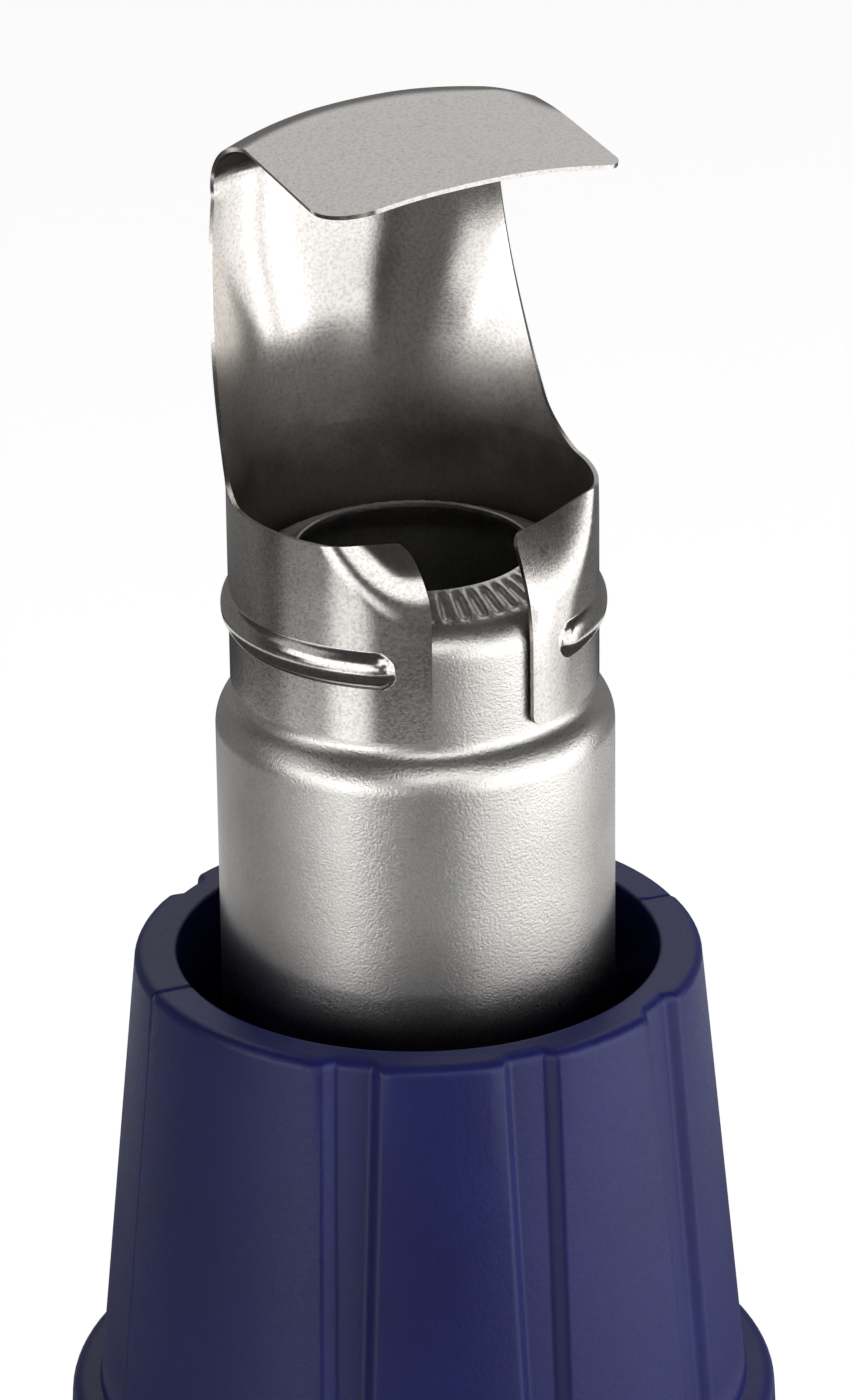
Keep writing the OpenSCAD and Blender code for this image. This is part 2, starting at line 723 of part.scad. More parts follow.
module rear_cap() {
    color(dark_plastic) difference() {
        rotate_extrude() polygon(concat([[0, cap_bottom_z]],
            arc(base_r - cap_edge_r, cap_bottom_z + cap_edge_r, cap_edge_r, -90, 0, 5),
            [[base_r, cap_top_z], [base_r - wall - 0.1, cap_top_z], [base_r - wall - 0.1, spigot_z],
                [base_r - 2 * wall, spigot_z], [base_r - 2 * wall, cap_bottom_z + 3],
                [0, cap_bottom_z + 3]]));
        ring(foot_out_r + fit_gap, foot_in_r - fit_gap, cap_bottom_z - 1, cap_bottom_z + 1);
        around(cap_slots, 180 / cap_slots) translate([base_r - 8, -cap_slot_w / 2, 7])
            cube([12, cap_slot_w, 11]);
    }
}

module foot_ring() {
    color("#1d1d1f") ring(foot_out_r, foot_in_r, 0, cap_bottom_z + 1);
}

// SWITCH
module switch_slider() {
    ridges = 6;
    z0 = slider_rest_z - slider_len / 2;
    top_x = waist_r + 2.4;
    color("#7b7d82") difference() {
        union() {
            translate([-top_x, -slider_half_w, z0])
                cube([top_x - bed_x - 0.1, 2 * slider_half_w, slider_len]);
            for (i = [0:ridges - 1])
                translate([-top_x, -slider_half_w + 1, z0 + 2 + i * (slider_len - 4) / (ridges - 1)])
                    rotate([-90, 0, 0]) cylinder(r = 0.7, h = 2 * slider_half_w - 2);
            translate([-bed_x - 0.5, -stem_half_w, slider_rest_z - stem_half])
                cube([bed_x - switch_body_x + 0.5, 2 * stem_half_w, 2 * stem_half]);
        }
        for (side = [-1, 1]) translate([-top_x - 1, side * slider_half_w, z0 - 1])
            rotate([0, 0, 45]) translate([-0.8, -0.8, 0]) cube([1.6, 1.6, slider_len + 2]);
    }
}

module switch_carriage() {
    color(brass) translate([-switch_body_x, -stem_half_w, slider_rest_z - stem_half])
        cube([3, 2 * stem_half_w, 2 * stem_half]);
}

module switch_body() {
    color("#1f2023") difference() {
        translate([-switch_body_x, -6.5, switch_z - switch_body_half])
            cube([6.2, 13, 2 * switch_body_half]);
        translate([-switch_body_x - 1, -stem_half_w - 0.3, slot_z0])
            cube([4.3, 2 * stem_half_w + 0.6, slot_len]);
    }
}

// CIRCUIT BOARD
board_x = -12;
board_thick = 1.6;
board_half_w = 15;
board_z0 = 26;
board_z1 = 52;

module circuit_board() {
    color("#3f6b45") translate([board_x, -board_half_w, board_z0])
        cube([board_thick, 2 * board_half_w, board_z1 - board_z0]);
}

module rectifier_diodes() {
    color("#26272a") for (i = [0:3]) translate([board_x + board_thick + 1.4, -9 + 4.2 * i, board_z0 + 6]) {
        cylinder(r = 1.4, h = 5.4);
        for (z = [-2, 5.4]) translate([0, 0, z]) cylinder(r = 0.4, h = 2);
    }
}

module suppression_capacitor() {
    color("#b9862f") translate([board_x + board_thick, 5, board_z0 + 14]) cube([5, 8, 9]);
}

// LEADS
lead_r = 0.9;
lead_run_r = 22.1;
lead_half_deg = 22;
lead_exit_z = guide_z1 - 5;
lead_end_gap = 0.05;

function polar(r, a, z) = [r * cos(a), r * sin(a), z];

module lead_holes() {
    for (side = [-1, 1]) rotate([0, 0, 180 + side * lead_half_deg])
        translate([tube_r - tube_wall - 1, 0, lead_exit_z]) rotate([0, 90, 0])
            cylinder(r = lead_r + 0.2, h = 8);
}

module heater_leads() {
    color("#b23a2e") for (side = [-1, 1]) let (a = 180 + side * lead_half_deg)
        wire([polar(terminal_pitch_r + 3, a, lead_exit_z), polar(18.5, a, lead_exit_z),
            polar(lead_run_r, a, lead_exit_z), polar(lead_run_r, a, lead_exit_z - 5),
            polar(lead_run_r, a, 70), polar(lead_run_r, a, 66), [-15, -7 * side, 57],
            [-14.6, -7 * side, 50], [board_x - lead_r, -7 * side, 45]], lead_r);
}

module motor_leads() {
    color("#2f4f9d") for (side = [-1, 1])
        wire([[side * 5.6, 2.6, motor_z0 - 6.1], [side * 5.6, 2.6, motor_z0 - 8],
            [side * 5.6, 7 + side, 50], [board_x + board_thick + 4, 9 + side * 2, 50],
            [board_x + board_thick + lead_end_gap, 9 + side * 2, 50]], 0.6);
}

module switch_leads() {
    color("#d8d8d4") for (side = [-1, 1])
        wire([[-15.6, side * 3, switch_z - switch_body_half - lead_end_gap], [-15.6, side * 3, 60],
            [-15.6, side * 3, 49], [board_x - lead_end_gap, side * 3, 49]], lead_r);
}

// CORD INLET
module cord_gland() {
    color("#1d1d1f") translate([0, 0, gland_z]) rotate([0, 90, 0]) difference() {
        union() {
            translate([0, 0, gland_x]) cylinder(r = gland_r + 1.4, h = 2);
            translate([0, 0, gland_x]) cylinder(r = gland_r, h = base_r - gland_x);
        }
        translate([0, 0, gland_x - 1]) cylinder(r = 3.3, h = 20);
    }
}

module clamp_screw_places() {
    for (side = [-1, 1]) translate([clamp_x, 0, gland_z + side * clamp_screw_pitch / 2])
        rotate([-90, 0, 0]) children();
}

module cord_clamp() {
    color(dark_plastic) difference() {
        translate([clamp_x - 3.5, -4.8, gland_z - clamp_screw_pitch / 2 - 3.5])
            cube([7, 4.8, clamp_screw_pitch + 7]);
        translate([clamp_x - 5, 0, gland_z]) rotate([0, 90, 0]) cylinder(r = 3.1, h = 10);
        clamp_screw_places() translate([0, 0, -8]) cylinder(r = 1.3, h = 12);
    }
}

module clamp_screws() {
    color(steel) clamp_screw_places() {
        translate([0, 0, -4.8]) cylinder(r = 1.2, h = 10);
        translate([0, 0, -6.6]) cylinder(r = 2.3, h = 1.8);
    }
}

reflector_nozzle();
nozzle_tube();
mica_sleeve();
heater_core();
heater_coil();
heater_base();
heater_terminals();
thermal_cutout();
tube_clamp_ring();
tube_screws();
air_guide();
fan_wheel();
motor_shroud();
motor_can();
motor_magnets();
armature();
commutator();
motor_shaft();
motor_bushes();
motor_end_cap();
motor_brushes();
front_shell();
back_shell();
shell_screws();
rear_cap();
foot_ring();
switch_slider();
switch_carriage();
switch_body();
circuit_board();
rectifier_diodes();
suppression_capacitor();
heater_leads();
motor_leads();
switch_leads();
cord_gland();
cord_clamp();
clamp_screws();
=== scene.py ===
import math

import bmesh
import bpy
import numpy as np
from mathutils import Matrix, Vector


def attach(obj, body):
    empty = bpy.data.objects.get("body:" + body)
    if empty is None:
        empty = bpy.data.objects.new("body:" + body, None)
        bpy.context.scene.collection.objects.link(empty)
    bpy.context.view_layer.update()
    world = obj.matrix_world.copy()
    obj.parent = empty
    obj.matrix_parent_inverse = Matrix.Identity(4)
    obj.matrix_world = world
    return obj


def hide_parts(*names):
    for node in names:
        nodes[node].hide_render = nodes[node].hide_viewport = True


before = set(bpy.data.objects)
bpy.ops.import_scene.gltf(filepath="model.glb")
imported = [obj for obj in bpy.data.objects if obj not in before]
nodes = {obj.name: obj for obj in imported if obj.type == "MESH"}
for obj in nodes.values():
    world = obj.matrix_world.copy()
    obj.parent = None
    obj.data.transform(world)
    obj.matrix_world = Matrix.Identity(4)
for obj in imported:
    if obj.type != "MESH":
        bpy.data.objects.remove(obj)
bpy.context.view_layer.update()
MM = 0.001

# Rear cap
# The vented cap that closes the rear end, moulded in black ABS with 26 slots for the fan's air.
# It plugs into the two housing halves, and its mould was lightly spark-eroded, so it is dull.


def linear(hex_colour):
    """An sRGB hex colour as the linear RGBA that a shader takes."""
    channels = [int(hex_colour[i:i + 2], 16) / 255 for i in (1, 3, 5)]
    return [c / 12.92 if c <= 0.04045 else ((c + 0.055) / 1.055) ** 2.4 for c in channels] + [1.0]


def feed(tree, node, inputs):
    """Sets a node's inputs: each is a plain value, a socket, or a node that gives its first output."""
    for key, value in inputs.items():
        if isinstance(value, bpy.types.Node):
            value = value.outputs[0]
        if isinstance(value, bpy.types.NodeSocket):
            tree.links.new(value, node.inputs[key])
        else:
            node.inputs[key].default_value = value


def add(tree, kind, settings, inputs):
    """Adds a shader node with its settings and links."""
    made = tree.nodes.new("ShaderNode" + kind)
    for name, value in settings.items():
        setattr(made, name, value)
    feed(tree, made, inputs)
    return made


# Most of a noise lies in this part of its range, so a finish is spread over it.
NOISE_SPAN = {"From Min": 0.3, "From Max": 0.7}


def start_material(name):
    """A new material with its tree, a Principled shader joined to the output, and object coordinates."""
    material = bpy.data.materials.new(name)
    material.use_nodes = True
    tree = material.node_tree
    tree.nodes.clear()
    shader = add(tree, "BsdfPrincipled", {}, {})
    add(tree, "OutputMaterial", {}, {"Surface": shader})
    place = add(tree, "TexCoord", {}, {}).outputs["Object"]
    return material, tree, shader, place


def grained(name, dark, light, patch_mm, grain_mm, grain_depth_mm, metallic, roughness):
    """A surface that drifts between two shades in patches and has a fine grain of a real size."""
    material, tree, shader, place = start_material(name)
    patches = add(tree, "TexNoise", {}, {"Vector": place, "Scale": 1000 / patch_mm, "Detail": 4.0})
    grain = add(tree, "TexNoise", {}, {"Vector": place, "Scale": 1000 / grain_mm, "Detail": 2.0})
    shade = add(tree, "ValToRGB", {}, {"Fac": patches})
    for stop, position, colour in zip(shade.color_ramp.elements, (0.3, 0.7), (dark, light)):
        stop.position, stop.color = position, linear(colour)
    feed(tree, shader, {
        "Base Color": shade,
        "Roughness": add(tree, "MapRange", {}, {"Value": patches, **NOISE_SPAN, "To Min": roughness - 0.08,
                                                "To Max": roughness + 0.08}),
        "Normal": add(tree, "Bump", {}, {"Height": grain, "Distance": grain_depth_mm * MM}),
        "Metallic": metallic})
    return material


def dress(material, *names):
    """Gives CAD nodes that stay a material of their own."""
    for name in names:
        nodes[name].data.materials.clear()
        nodes[name].data.materials.append(material)


# Spark-eroded ABS looks charcoal, with a soft broad gloss and a grain of a third of a millimetre.
black_abs = grained("black_abs_spark_eroded", "#1b1c1f", "#26272b", 6, 0.34, 0.03, 0.0, 0.5)
dress(black_abs, "rear_cap")

# Foot ring
# A soft ring pressed into the cap's groove, so that the tool doesn't slide or hum on the table.
# Moulded nitrile rubber: near black and matt, with three fine grip ridges on its face.
FOOT_OUT, FOOT_IN, FOOT_TOP, FOOT_EDGE = 27.5, 21.5, 2.0, 0.4
GRIP_RIDGES, GRIP_FIRST, GRIP_STEP, GRIP_HALF_W, GRIP_GROOVE = 3, 1.4, 1.6, 0.55, 0.28


def build(name, points, faces):
    """A mesh object from points in millimetres and faces, with outward normals."""
    mesh = bpy.data.meshes.new(name)
    mesh.from_pydata([[c * MM for c in p] for p in points], [], faces)
    shape = bmesh.new()
    shape.from_mesh(mesh)
    bmesh.ops.remove_doubles(shape, verts=shape.verts, dist=1e-7)
    bmesh.ops.recalc_face_normals(shape, faces=shape.faces)
    shape.to_mesh(mesh)
    shape.free()
    made = bpy.data.objects.new(name, mesh)
    bpy.context.scene.collection.objects.link(made)
    return made


def smooth(made, sharp_deg=38):
    """Shades a piece smooth, but keeps edges that turn more than sharp_deg crisp."""
    made.data.shade_smooth()
    made.data.set_sharp_from_angle(angle=math.radians(sharp_deg))


def finish_piece(made, material, body, slot, *replaced):
    """Dresses a new piece, seats it on its body and hides the CAD nodes it stands for."""
    made.data.materials.clear()
    made.data.materials.append(material)
    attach(made, body)
    if replaced:
        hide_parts(*replaced)


def lathe(name, outline, columns=192, axis="Z", origin=(0, 0, 0)):
    """Turns a closed outline of (radius, height) points about an axis through origin."""
    points, faces = [], []
    count = len(outline)
    for c in range(columns):
        a = 2 * math.pi * c / columns
        for r, h in outline:
            u, v = r * math.cos(a), r * math.sin(a)
            p = {"X": (h, u, v), "Y": (u, h, v), "Z": (u, v, h)}[axis]
            points.append([p[i] + origin[i] for i in range(3)])
    for c in range(columns):
        n = (c + 1) % columns
        for i in range(count):
            j = (i + 1) % count
            faces.append((c * count + i, c * count + j, n * count + j, n * count + i))
    return build(name, points, faces)


def corner(cx, cy, r, start, stop, steps=6):
    """Points of a rounded corner, with angles in degrees."""
    return [(cx + r * math.cos(math.radians(start + (stop - start) * i / steps)),
             cy + r * math.sin(math.radians(start + (stop - start) * i / steps))) for i in range(steps + 1)]


ridge_line = []
for ridge in range(GRIP_RIDGES):
    middle = FOOT_IN + GRIP_FIRST + GRIP_STEP * ridge
    ridge_line += [(middle + GRIP_HALF_W * s, 0.0 if abs(s) < 0.5 else GRIP_GROOVE)
                   for s in (-1, -0.4, 0.4, 1)]
foot = lathe("foot_ring_rubber",
             [(FOOT_IN, FOOT_TOP)] + corner(FOOT_IN + FOOT_EDGE, FOOT_EDGE, FOOT_EDGE, 180, 270) + ridge_line
             + corner(FOOT_OUT - FOOT_EDGE, FOOT_EDGE, FOOT_EDGE, 270, 360) + [(FOOT_OUT, FOOT_TOP)])
smooth(foot)
# Nitrile rubber gives a flat, slightly dusty black with almost no highlight.
nitrile = grained("black_nitrile_rubber", "#151516", "#1f1f21", 4, 0.25, 0.02, 0.0, 0.72)
finish_piece(foot, nitrile, "housing", "black_rubber", "foot_ring")

# Circuit board, its parts and the leads
# A glass-epoxy board stands between rails in the rear half and carries the rectifier and capacitor.
# The leads are silicone and PVC insulated and are soldered to it.
dress(grained("green_solder_mask", "#28563a", "#2f6643", 5, 0.5, 0.01, 0.0, 0.35), "circuit_board")
dress(grained("epoxy_diode_body", "#1a1b1d", "#242528", 1.5, 0.2, 0.01, 0.0, 0.42), "rectifier_diodes")
dress(grained("potted_capacitor_case", "#b07a26", "#bb8732", 3, 0.3, 0.01, 0.0, 0.32),
      "suppression_capacitor")
dress(grained("red_silicone_insulation", "#9f2d22", "#ad382c", 2, 0.3, 0.01, 0.0, 0.45), "heater_leads")
dress(grained("blue_pvc_insulation", "#28468c", "#2f5099", 2, 0.3, 0.01, 0.0, 0.38), "motor_leads")
dress(grained("grey_pvc_insulation", "#bdbdb9", "#cccbc6", 2, 0.3, 0.01, 0.0, 0.38), "switch_leads")

# Motor
# A small DC motor: a zinc-plated can with two ferrite magnets, a wound armature and sintered bushes.
# Its moulded end cap holds the brushes, and a moulded shroud hangs it in the middle of the duct.
zinc_plate = grained("zinc_plated_steel", "#a9abad", "#bcbdbe", 3, 0.4, 0.006, 1.0, 0.3)
dress(zinc_plate, "motor_can", "motor_shaft", "tube_screws", "clamp_screws", "thermal_cutout")
dress(grained("sintered_ferrite", "#2d2d2f", "#39393b", 1.5, 0.2, 0.02, 0.0, 0.6), "motor_magnets")
dress(grained("varnished_copper_winding", "#7c4a2a", "#945c35", 1.2, 0.3, 0.05, 0.6, 0.4), "armature")
worked_brass = grained("worked_brass", "#a68a4c", "#b89a58", 2, 0.3, 0.008, 1.0, 0.34)
dress(worked_brass, "commutator", "motor_bushes", "motor_brushes", "switch_carriage", "heater_terminals")
dress(black_abs, "motor_shroud", "motor_end_cap")

# Fan and air guide
# A nine-bladed axial wheel pressed on the motor's shaft, and the fixed vanes that straighten its air.
# Both are glass-filled nylon, greyer and duller than the cap.
nylon = grained("glass_filled_nylon", "#2b2c30", "#37393e", 4, 0.3, 0.025, 0.0, 0.55)
dress(nylon, "fan_wheel", "air_guide")

# Heater
# Three mica boards crossed into a star, wound with resistance wire and standing on a ceramic base.
# A rolled mica sheet lines the tube round them, and a plated ring clamps the tube's flange.
dress(grained("pressed_mica_board", "#a99b79", "#c4b896", 2.2, 0.5, 0.03, 0.0, 0.6), "heater_core")
dress(grained("oxidised_nichrome", "#5c5650", "#776f67", 1.2, 0.2, 0.01, 1.0, 0.5), "heater_coil")
dress(grained("steatite_ceramic", "#d2cabb", "#ddd6c8", 3, 0.25, 0.015, 0.0, 0.62), "heater_base")
dress(grained("punched_steel_ring", "#8f9090", "#a6a7a7", 3, 0.4, 0.01, 1.0, 0.42), "tube_clamp_ring")
# The sleeve is painted a dull dark brown, as shade, so the inside of the outlet reads dark.
mica_painted_shade = grained("mica_painted_shade", "#2a2620", "#3d372e", 3, 0.4, 0.02, 0.0, 0.55)
dress(mica_painted_shade, "mica_sleeve")

# Housing halves
# The two long halves of the barrel, moulded in navy ABS and screwed together along the XZ plane.
# The cone carries six fluted channels, and the parting line shows as a fine groove with worn lips.
RIM_Z, RIM_R, BORE_R, RIM_EDGE = 194.0, 23.8, 20.2, 1.0
CONE_LEN, CONE_FOOT_R = 40.4, 27.7
RING_TOP_Z = RIM_Z - CONE_LEN
RING_R, RING_TOP_R, RING_EDGE = 30.9, 30.2, 1.4
WAIST_R, BASE_R, WALL, SHELL_FOOT_Z = 26.0, 31.0, 2.4, 22.4
FLARE_Z, WAIST_Z, WAIST_TOP_Z, RING_Z = 30.0, 64.0, 116.0, 138.0
CHANNEL_DEGS = (54.0, 90.0, 126.0)
CHANNEL_TOP_W, CHANNEL_FOOT_W, CHANNEL_DEPTH, CHANNEL_SIDE = 5.05, 4.05, 0.92, 0.95
RIM_RUN_OUT = ((22.4, 0.8), (22.0, 0.5), (21.4, 0.12), (20.9, 0))
SEAM_GAP, SEAM_RIM_LIP, SEAM_SIDE_LIP, SEAM_STEP_RUN = 0.04, 0.42, 0.16, 9.0


def flare(r0, z0, r1, z1, steps):
    """Points of a soft S-shaped change of radius."""
    return [(r0 + (r1 - r0) * (1 - math.cos(math.pi * i / steps)) / 2, z0 + (z1 - z0) * i / steps)
            for i in range(steps + 1)]


def line(p, q, steps):
    """Points between p and q, without the two ends."""
    return [(p[0] + (q[0] - p[0]) * i / steps, p[1] + (q[1] - p[1]) * i / steps) for i in range(1, steps)]


def soft_step(t, blend):
    """Rises from 0 to 1 as t does, with both corners rounded over blend."""
    t = np.asarray(t, float)
    low = (t + blend) ** 2 / (4 * blend)
    high = 1 - (1 + blend - t) ** 2 / (4 * blend)
    return np.select([t < -blend, t < blend, t < 1 - blend, t < 1 + blend], [0, low, t, high], 1)


# The outline of the wall: outside from the foot up to the rim, then the rim's flat and down the inside.
# The third number says how much of a channel's depth the point takes.
outside = [(r, z, 0) for r, z in
           corner(BASE_R - 0.35, SHELL_FOOT_Z + 0.35, 0.35, -90, 0, 4)
           + line((BASE_R, SHELL_FOOT_Z + 0.35), (BASE_R, FLARE_Z), 4)
           + flare(BASE_R, FLARE_Z, WAIST_R, WAIST_Z, 16)
           + line((WAIST_R, WAIST_Z), (WAIST_R, WAIST_TOP_Z), 14)
           + flare(WAIST_R, WAIST_TOP_Z, RING_R, RING_Z, 14)
           + line((RING_R, RING_Z), (RING_TOP_R, RING_TOP_Z - RING_EDGE), 6)
           + corner(RING_TOP_R - RING_EDGE, RING_TOP_Z - RING_EDGE, RING_EDGE, 0, 90, 8)]
outside += [(CONE_FOOT_R + 0.35, RING_TOP_Z, 1), (CONE_FOOT_R + 0.1, RING_TOP_Z + 0.06, 1),
            (CONE_FOOT_R - 0.03, RING_TOP_Z + 0.35, 1)]
outside += [(r, z, 1)
            for r, z in line((CONE_FOOT_R - 0.03, RING_TOP_Z + 0.35), (RIM_R, RIM_Z - RIM_EDGE), 12)]
outside += [(r, z, 1) for r, z in corner(RIM_R - RIM_EDGE, RIM_Z - RIM_EDGE, RIM_EDGE, 0, 90, 8)]
outside += [(r, RIM_Z, share) for r, share in RIM_RUN_OUT]
outside += [(r, z, 0) for r, z in corner(BORE_R + 0.35, RIM_Z - 0.35, 0.35, 90, 180, 5)]
inside = [(BORE_R, RIM_Z - 2.5), (BORE_R, RIM_Z - 5), (CONE_FOOT_R - 3.2, RING_TOP_Z - 2.4),
          (RING_R - WALL - 0.7, RING_TOP_Z - 5)] \
    + flare(RING_R - WALL, RING_Z, WAIST_R - WALL, WAIST_TOP_Z, 10) \
    + flare(WAIST_R - WALL, WAIST_Z, BASE_R - WALL, FLARE_Z, 12) + [(BASE_R - WALL, SHELL_FOOT_Z)]
outline = np.array(outside + [(r, z, 0) for r, z in inside])
ahead, behind = np.roll(outline, -1, 0)[:, :2], np.roll(outline, 1, 0)[:, :2]
along = ahead - behind
normal = np.stack([along[:, 1], -along[:, 0]], 1) / np.linalg.norm(along, axis=1)[:, None]

# Columns round half a turn: fixed distances from the parting plane near both ends, fine across channels.
near_seam = [SEAM_GAP, 0.07, 0.12, 0.18, 0.25, 0.34, 0.5, 0.9, 1.6]
fine = np.concatenate([np.arange(-2.85, -0.9, 0.15), np.arange(-0.8, 0.81, 0.4), np.arange(0.95, 2.9, 0.15)])
middle_r = (RIM_R + CONE_FOOT_R) / 2
turning = sorted(set(np.round(np.concatenate([np.degrees(fine / middle_r) + c for c in CHANNEL_DEGS]
                                             + [np.arange(6, 175, 3.0)]), 3)))
turning = [a for i, a in enumerate(turning) if i == 0 or a - turning[i - 1] > 0.12]


def half_shell(name, side, step_mm):
    """One housing half: side is +1 for the back, -1 for the front; step_mm sinks it at the +X seam."""
    r, z, share = outline[:, 0][:, None], outline[:, 1][:, None], outline[:, 2][:, None]
    seam = np.arcsin(np.array(near_seam)[None, :] / r)
    theta = np.concatenate([seam, np.radians(np.array(turning))[None, :].repeat(len(outline), 0),
                            math.pi - seam[:, ::-1]], 1)
    radius = np.repeat(r, theta.shape[1], 1)
    height = np.repeat(z, theta.shape[1], 1)
    width = CHANNEL_FOOT_W + (CHANNEL_TOP_W - CHANNEL_FOOT_W) * np.clip((z - RING_TOP_Z) / CONE_LEN, 0, 1)
    depth = np.zeros_like(theta)
    for centre in CHANNEL_DEGS:
        off = np.abs(theta - math.radians(centre)) * r
        depth = np.maximum(depth, CHANNEL_DEPTH * soft_step((width / 2 - off) / CHANNEL_SIDE, 0.2))
    radius = radius - depth * share
    # The lips of the parting line are rounded, more so on the rim than down the side.
    off_seam = radius * np.sin(theta) - SEAM_GAP
    lip = np.where(z > RIM_Z - 1.2, SEAM_RIM_LIP, SEAM_SIDE_LIP)
    inner = np.arange(len(outline)) >= len(outside)
    lip = np.where(inner[:, None], 1e-6, lip)
    d = np.clip(lip - off_seam, 0, lip)
    drop = lip - np.sqrt(np.maximum(lip ** 2 - d ** 2, 0))
    stepped = (np.cos(theta) > 0) & ~inner[:, None] & (share > 0)
    drop = drop + step_mm * stepped * np.clip(1 - off_seam / SEAM_STEP_RUN, 0, 1) ** 2
    radius, height = radius - normal[:, 0][:, None] * drop, height - normal[:, 1][:, None] * drop
    x, y = radius * np.cos(theta), side * radius * np.sin(theta)
    rows, columns = theta.shape
    points = np.stack([x, y, height], 2).reshape(-1, 3).tolist()
    faces = []
    for i in range(rows):
        j = (i + 1) % rows
        faces += [(i * columns + c, i * columns + c + 1, j * columns + c + 1, j * columns + c)
                  for c in range(columns - 1)]
    for end in (0, columns - 1):
        faces.append(tuple(i * columns + end for i in range(rows)))
    return build(name, points, faces)


def box_between(name, low, high, round_mm=0.0):
    """A box between two corners, in millimetres, with its edges rounded."""
    shape = bmesh.new()
    bmesh.ops.create_cube(shape, size=1)
    for v in shape.verts:
        v.co = [(low[i] + (high[i] - low[i]) * (v.co[i] + 0.5)) * MM for i in range(3)]
    if round_mm:
        bmesh.ops.bevel(shape, geom=shape.edges[:], offset=round_mm * MM, segments=4, profile=0.5,
                        affect="EDGES")
    mesh = bpy.data.meshes.new(name)
    shape.to_mesh(mesh)
    shape.free()
    made = bpy.data.objects.new(name, mesh)
    bpy.context.scene.collection.objects.link(made)
    return made


def cut(made, *cutters):
    """Takes cutters out of a piece and deletes them."""
    for cutter in cutters:
        modifier = made.modifiers.new("cut", "BOOLEAN")
        modifier.operation, modifier.solver, modifier.object = "DIFFERENCE", "EXACT", cutter
        settle(made)
        bpy.data.objects.remove(cutter)


def settle(made):
    """Applies a piece's modifiers."""
    graph = bpy.context.evaluated_depsgraph_get()
    graph.update()
    mesh = bpy.data.meshes.new_from_object(made.evaluated_get(graph))
    made.modifiers.clear()
    made.data = mesh


def join(name, *parts):
    """Joins meshes into the first and names it."""
    shape = bmesh.new()
    for part in parts:
        shape.from_mesh(part.data)
    mesh = bpy.data.meshes.new(name)
    shape.to_mesh(mesh)
    shape.free()
    first = parts[0]
    for part in parts[1:]:
        bpy.data.objects.remove(part)
    first.name, first.data = name, mesh
    return first


SWITCH_Z, SLIDER_HALF_W, SLIDER_LEN, TRAVEL = 80.0, 6.0, 18.0, 10.0
BED_X, BED_HALF_W, BED_PLAY = WAIST_R - 1.2, 7.5, 1.5
SLIDER_Z = SWITCH_Z - TRAVEL / 2
STEM_HALF_W, STEM_HALF_L, SLOT_HALF_W, SLOT_PLAY = 2.0, 3.0, 2.3, 0.4
GLAND_Z, GLAND_R = 36.0, 5.4
SCREW_PLACES = ((19.5, 50.0), (22.5, 146.0))
HEAD_BORE_R, HEAD_SINK, BOSS_R, PILOT_R = 3.1, 4.5, 3.4, 1.5
# A boss ends this far under the outside: in the front half, and below a screw's seat in the back half.
BOSS_UNDER, BOSS_UNDER_SEAT = 1.2, 0.7


def reach(x, z):
    """How far from the parting plane the outside lies over a screw."""
    flared = (1 - math.cos(math.pi * (z - FLARE_Z) / (WAIST_Z - FLARE_Z))) / 2
    r = RING_TOP_R if z > RING_Z else BASE_R + (WAIST_R - BASE_R) * flared
    return math.sqrt(r * r - x * x)


def rod(name, r, y0, y1, x, z, bore=0.001, columns=48):
    """A plain rod along Y, or with a bore a tube."""
    return lathe(name, [(bore, y0), (r, y0), (r, y1), (bore, y1)], columns, "Y", (x, 0, z))


halves = []
for name, side, step_mm in (("front_shell_moulding", -1, 0.0), ("back_shell_moulding", 1, 0.14)):
    shell = half_shell(name, side, step_mm)
    bed_half = (SLIDER_LEN + TRAVEL) / 2 + BED_PLAY
    cut(shell,
        box_between("bed_cutter", (-WAIST_R - 6, -BED_HALF_W, SWITCH_Z - bed_half),
                    (-BED_X, BED_HALF_W, SWITCH_Z + bed_half), 0.6),
        box_between("slot_cutter", (-WAIST_R - 1, -SLOT_HALF_W, SLIDER_Z - STEM_HALF_L - SLOT_PLAY),
                    (-19, SLOT_HALF_W, SLIDER_Z + TRAVEL + STEM_HALF_L + SLOT_PLAY), 0.5),
        lathe("gland_cutter", [(0.001, 20), (GLAND_R + 0.05, 20), (GLAND_R + 0.05, 40), (0.001, 40)], 96, "X",
              (0, 0, GLAND_Z)))
    if side > 0:
        cut(shell, *[rod("head_cutter", HEAD_BORE_R, reach(x, z) - HEAD_SINK, 40, sx * x, z)
                     for x, z in SCREW_PLACES for sx in (-1, 1)])
    under = HEAD_SINK + BOSS_UNDER_SEAT if side > 0 else BOSS_UNDER
    extras = [rod("boss", BOSS_R, side * 0.05, side * (reach(x, z) - under), sx * x, z, PILOT_R, 40)
              for x, z in SCREW_PLACES for sx in (-1, 1)]
    for a in (12, 90, 168):
        fin = box_between("fin", (16.55, -0.9, RIM_Z - 30), (22.2, 0.9, RIM_Z - 8), 0.6)
        fin.data.transform(Matrix.Rotation(math.radians(side * a), 4, "Z"))
        extras.append(fin)
    shell = join(name, shell, *extras)
    smooth(shell, 32)
    halves.append(shell)

